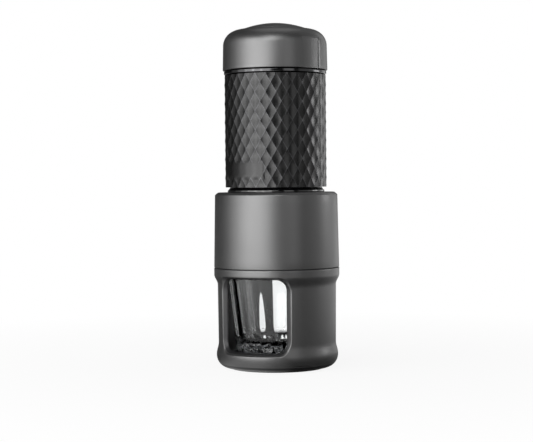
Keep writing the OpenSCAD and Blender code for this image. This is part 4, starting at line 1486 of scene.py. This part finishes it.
@dataclass
class Studio:
    """The floor, the surroundings, the lamps and the camera."""

    distance: float = 0.952
    eye_height: float = 0.1197
    sensor: float = 36.0
    lens: float = 100.6
    clip: Point = (0.01, 50.0)
    pitch: float = 1.575
    yaw: float = 0.365
    roll: float = 0.5
    # A row of tall strips: each one's angle and power
    bank: tuple[Point, ...] = (
        (-100, 0.25), (-78, 1.15), (-58, 2.4), (-40, 2.55), (-21, 2.32), (30, 0.82), (65, 0.28),
        (90, 0.26), (115, 0.2), (140, 0.6))
    strip: Point = (0.32, 0.9)
    strip_elevation: float = 8.0
    strip_distance: float = 0.8
    lamps: tuple[Softbox, ...] = (
        Softbox("edge_light", 105, 6.5, 0.8, (0.26, 0.12), 0.4),
        Softbox("top_light", 180, 80, 0.8, (0.5, 0.5), 0.5),
        Softbox("front_fill", -6, 36, 0.8, (0.3, 0.4), 1.5))
    # White shows through the glass up to this height of the ray, and fades out above it
    paper_top: Point = (0.12, 0.3)
    dim: float = 0.06
    # What polished pieces mirror: shares of a turn, from behind the maker round by its left, and levels
    walls: tuple[Point, ...] = (
        (0.0, 0.1), (0.05, 0.05), (0.08, 0.03), (0.17, 0.03), (0.30, 0.03), (0.44, 0.02), (0.57, 0.02),
        (0.60, 0.03), (0.70, 0.05), (0.73, 0.25), (0.90, 0.30), (1.0, 0.1))
    pool: tuple[Point, ...] = (
        (0.0, 0.1), (0.21, 0.05), (0.28, 0.45), (0.34, 0.95), (0.44, 0.9), (0.5, 0.4), (0.55, 0.03),
        (0.62, 0.07), (0.70, 0.12), (0.76, 0.25), (0.83, 0.4), (0.92, 0.3))
    pool_reach: Point = (0.12, 0.4)
    pool_middle: float = 0.3
    pool_level: float = 2.4
    floor_r: float = 4.0
    floor_sides: int = 64
    floor_grey: float = 0.8
    # The share of plain white in the floor, from close to the maker to far from it
    floor_fade: Point = (0.05, 0.4)
    floor_white: Point = (0.9, 1.0)

    def level_round(self, tree: Tree, coords: Socket, stops: Sequence[Point]) -> Source:
        """Read a grey level off the direction from the maker.

        Args:
            tree: the node tree.
            coords: the coordinates.
            stops: each stop's share of a turn, from behind the maker round by its left, and its level.

        Returns:
            The level.
        """
        turned = add(tree, Kind.MAPPING, {
            "vector_type": "POINT", "Rotation": (0, 0, math.radians(-VIEW_TURN))}, {"Vector": coords})
        axes = add(tree, Kind.AXES, links={"Vector": turned}).outputs
        share = add(tree, Kind.RANGE, {"From Min": -math.pi, "From Max": math.pi},
                    {"Value": bearing(tree, axes)})
        levels = add(tree, Kind.RAMP, links={"Fac": share})
        elements = levels.color_ramp.elements
        while len(elements) < len(stops):
            elements.new(0.5)
        for element, (place, level) in zip(elements, stops):
            element.position = place
            element.color = grey(level)
        return levels

    def surroundings(self) -> None:
        """Make the world: white where it is looked at, a dim studio in the reflections."""
        world = bpy.data.worlds.new("studio")
        bpy.context.scene.world = world
        world.use_nodes = True
        tree = world.node_tree
        tree.nodes.clear()
        rays = add(tree, Kind.RAYS).outputs
        coords = add(tree, Kind.COORDS).outputs["Generated"]
        axes = add(tree, Kind.AXES, links={"Vector": coords})
        paper = add(tree, Kind.RANGE, {"From Min": self.paper_top[1], "From Max": self.paper_top[0]},
                    {"Value": axes.outputs["Z"]})
        through = add(tree, Kind.MATH, {"operation": "MULTIPLY"}, {0: rays["Is Transmission Ray"], 1: paper})
        seen = add(tree, Kind.MATH, {"operation": "MAXIMUM"}, {0: rays["Is Camera Ray"], 1: through})
        studio = add(tree, Kind.MIX, {"data_type": "RGBA", MIX_A: grey(self.dim)},
                     {"Factor": rays["Is Glossy Ray"], MIX_B: self.level_round(tree, coords, self.walls)})
        final = add(tree, Kind.MIX, {"data_type": "RGBA", MIX_B: grey(1.0)},
                    {"Factor": seen, MIX_A: studio.outputs[MIX_OUT]})
        shade = add(tree, Kind.BACKGROUND, links={"Color": final.outputs[MIX_OUT]})
        add(tree, Kind.WORLD, links={"Surface": shade})

    def paper(self) -> Material:
        """The pale floor: white to the camera and through glass, and a pool of light in reflections.

        Returns:
            Its material.
        """
        material, tree = bare_material("pale_floor_paper")
        rays = add(tree, Kind.RAYS).outputs
        coords = add(tree, Kind.COORDS).outputs["Object"]
        reach = add(tree, Kind.VECTOR, {"operation": "LENGTH"}, {0: coords}).outputs["Value"]
        fade = add(tree, Kind.RANGE, {
            "From Min": self.floor_fade[0], "From Max": self.floor_fade[1],
            "To Min": self.floor_white[0], "To Max": self.floor_white[1]}, {"Value": reach})
        seen = add(tree, Kind.MATH, {"operation": "MAXIMUM"},
                   {0: rays["Is Camera Ray"], 1: rays["Is Transmission Ray"]})
        amount = add(tree, Kind.MATH, {"operation": "MULTIPLY"}, {0: seen, 1: fade})
        matt = add(tree, Kind.DIFFUSE, {"Color": grey(self.floor_grey)})
        out = add(tree, Kind.RANGE, {
            "From Min": self.pool_reach[0], "From Max": self.pool_reach[1], "To Min": self.pool_middle,
        }, {"Value": reach})
        level = add(tree, Kind.MATH, {"operation": "MULTIPLY", 1: self.pool_level}, {0: out})
        pool = self.level_round(tree, coords, self.pool)
        glow = add(tree, Kind.EMISSION, links={"Color": pool, "Strength": level})
        white = add(tree, Kind.EMISSION, {"Color": grey(1.0), "Strength": 1.0})
        mirrored = add(tree, Kind.MIX_SHADER, links={0: rays["Is Glossy Ray"], 1: matt, 2: glow})
        shade = add(tree, Kind.MIX_SHADER, links={0: amount, 1: mirrored, 2: white})
        add(tree, Kind.SURFACE, links={"Surface": shade})
        return material

    def floor(self) -> None:
        """Lay the floor, which fades into the white surroundings."""
        bm = bmesh.new()
        bmesh.ops.create_circle(bm, cap_ends=True, segments=self.floor_sides, radius=self.floor_r)
        mesh = bpy.data.meshes.new("floor")
        bm.to_mesh(mesh)
        bm.free()
        mesh.materials.append(self.paper())
        floor = bpy.data.objects.new("floor", mesh)
        bpy.context.scene.collection.objects.link(floor)

    def camera(self) -> None:
        """Set the camera where the photograph was taken from."""
        data = bpy.data.cameras.new("camera")
        data.sensor_width = self.sensor
        data.lens = self.lens
        data.clip_start, data.clip_end = self.clip
        camera = bpy.data.objects.new("camera", data)
        bpy.context.scene.collection.objects.link(camera)
        camera.location = aim(VIEW_TURN, self.distance, self.eye_height)
        camera.rotation_euler = (math.radians(90 - self.pitch), math.radians(self.roll),
                                 math.radians(VIEW_TURN + self.yaw))
        bpy.context.scene.camera = camera

    def build(self) -> None:
        """Set up the studio."""
        self.surroundings()
        self.floor()
        for angle, power in self.bank:
            Softbox(f"strip_{angle}", angle, self.strip_elevation, self.strip_distance, self.strip,
                    power).build()
        for lamp in self.lamps:
            lamp.build()
        self.camera()
        bpy.context.scene.view_settings.view_transform = "Standard"


def main() -> None:
    """Build every piece in order, then the studio."""
    logging.basicConfig(level=logging.INFO, format="%(name)s: %(message)s")
    paint = SATIN_PAINT.build()
    black = GLOSS_ABS.build()
    CupHolder().build(PAINT_WITH_DARK_INSIDE.build())
    GlassCup().build(CLEAR_GLASS.build())
    BrewBody().build(paint)
    Grip().build(GRIP_PLASTIC.build())
    PumpBarrel().build(black)
    TrimRing().build(DARK_CHROME.build())
    Cap().build(paint)
    ReturnSpring().build(SPRING_WIRE.build())
    InnerParts().dress(PRESSED_STEEL.build(), TURNED_STEEL.build(), NYLON.build(), SILICONE.build(), black)
    Studio().build()


if __name__ == "__main__":
    main()
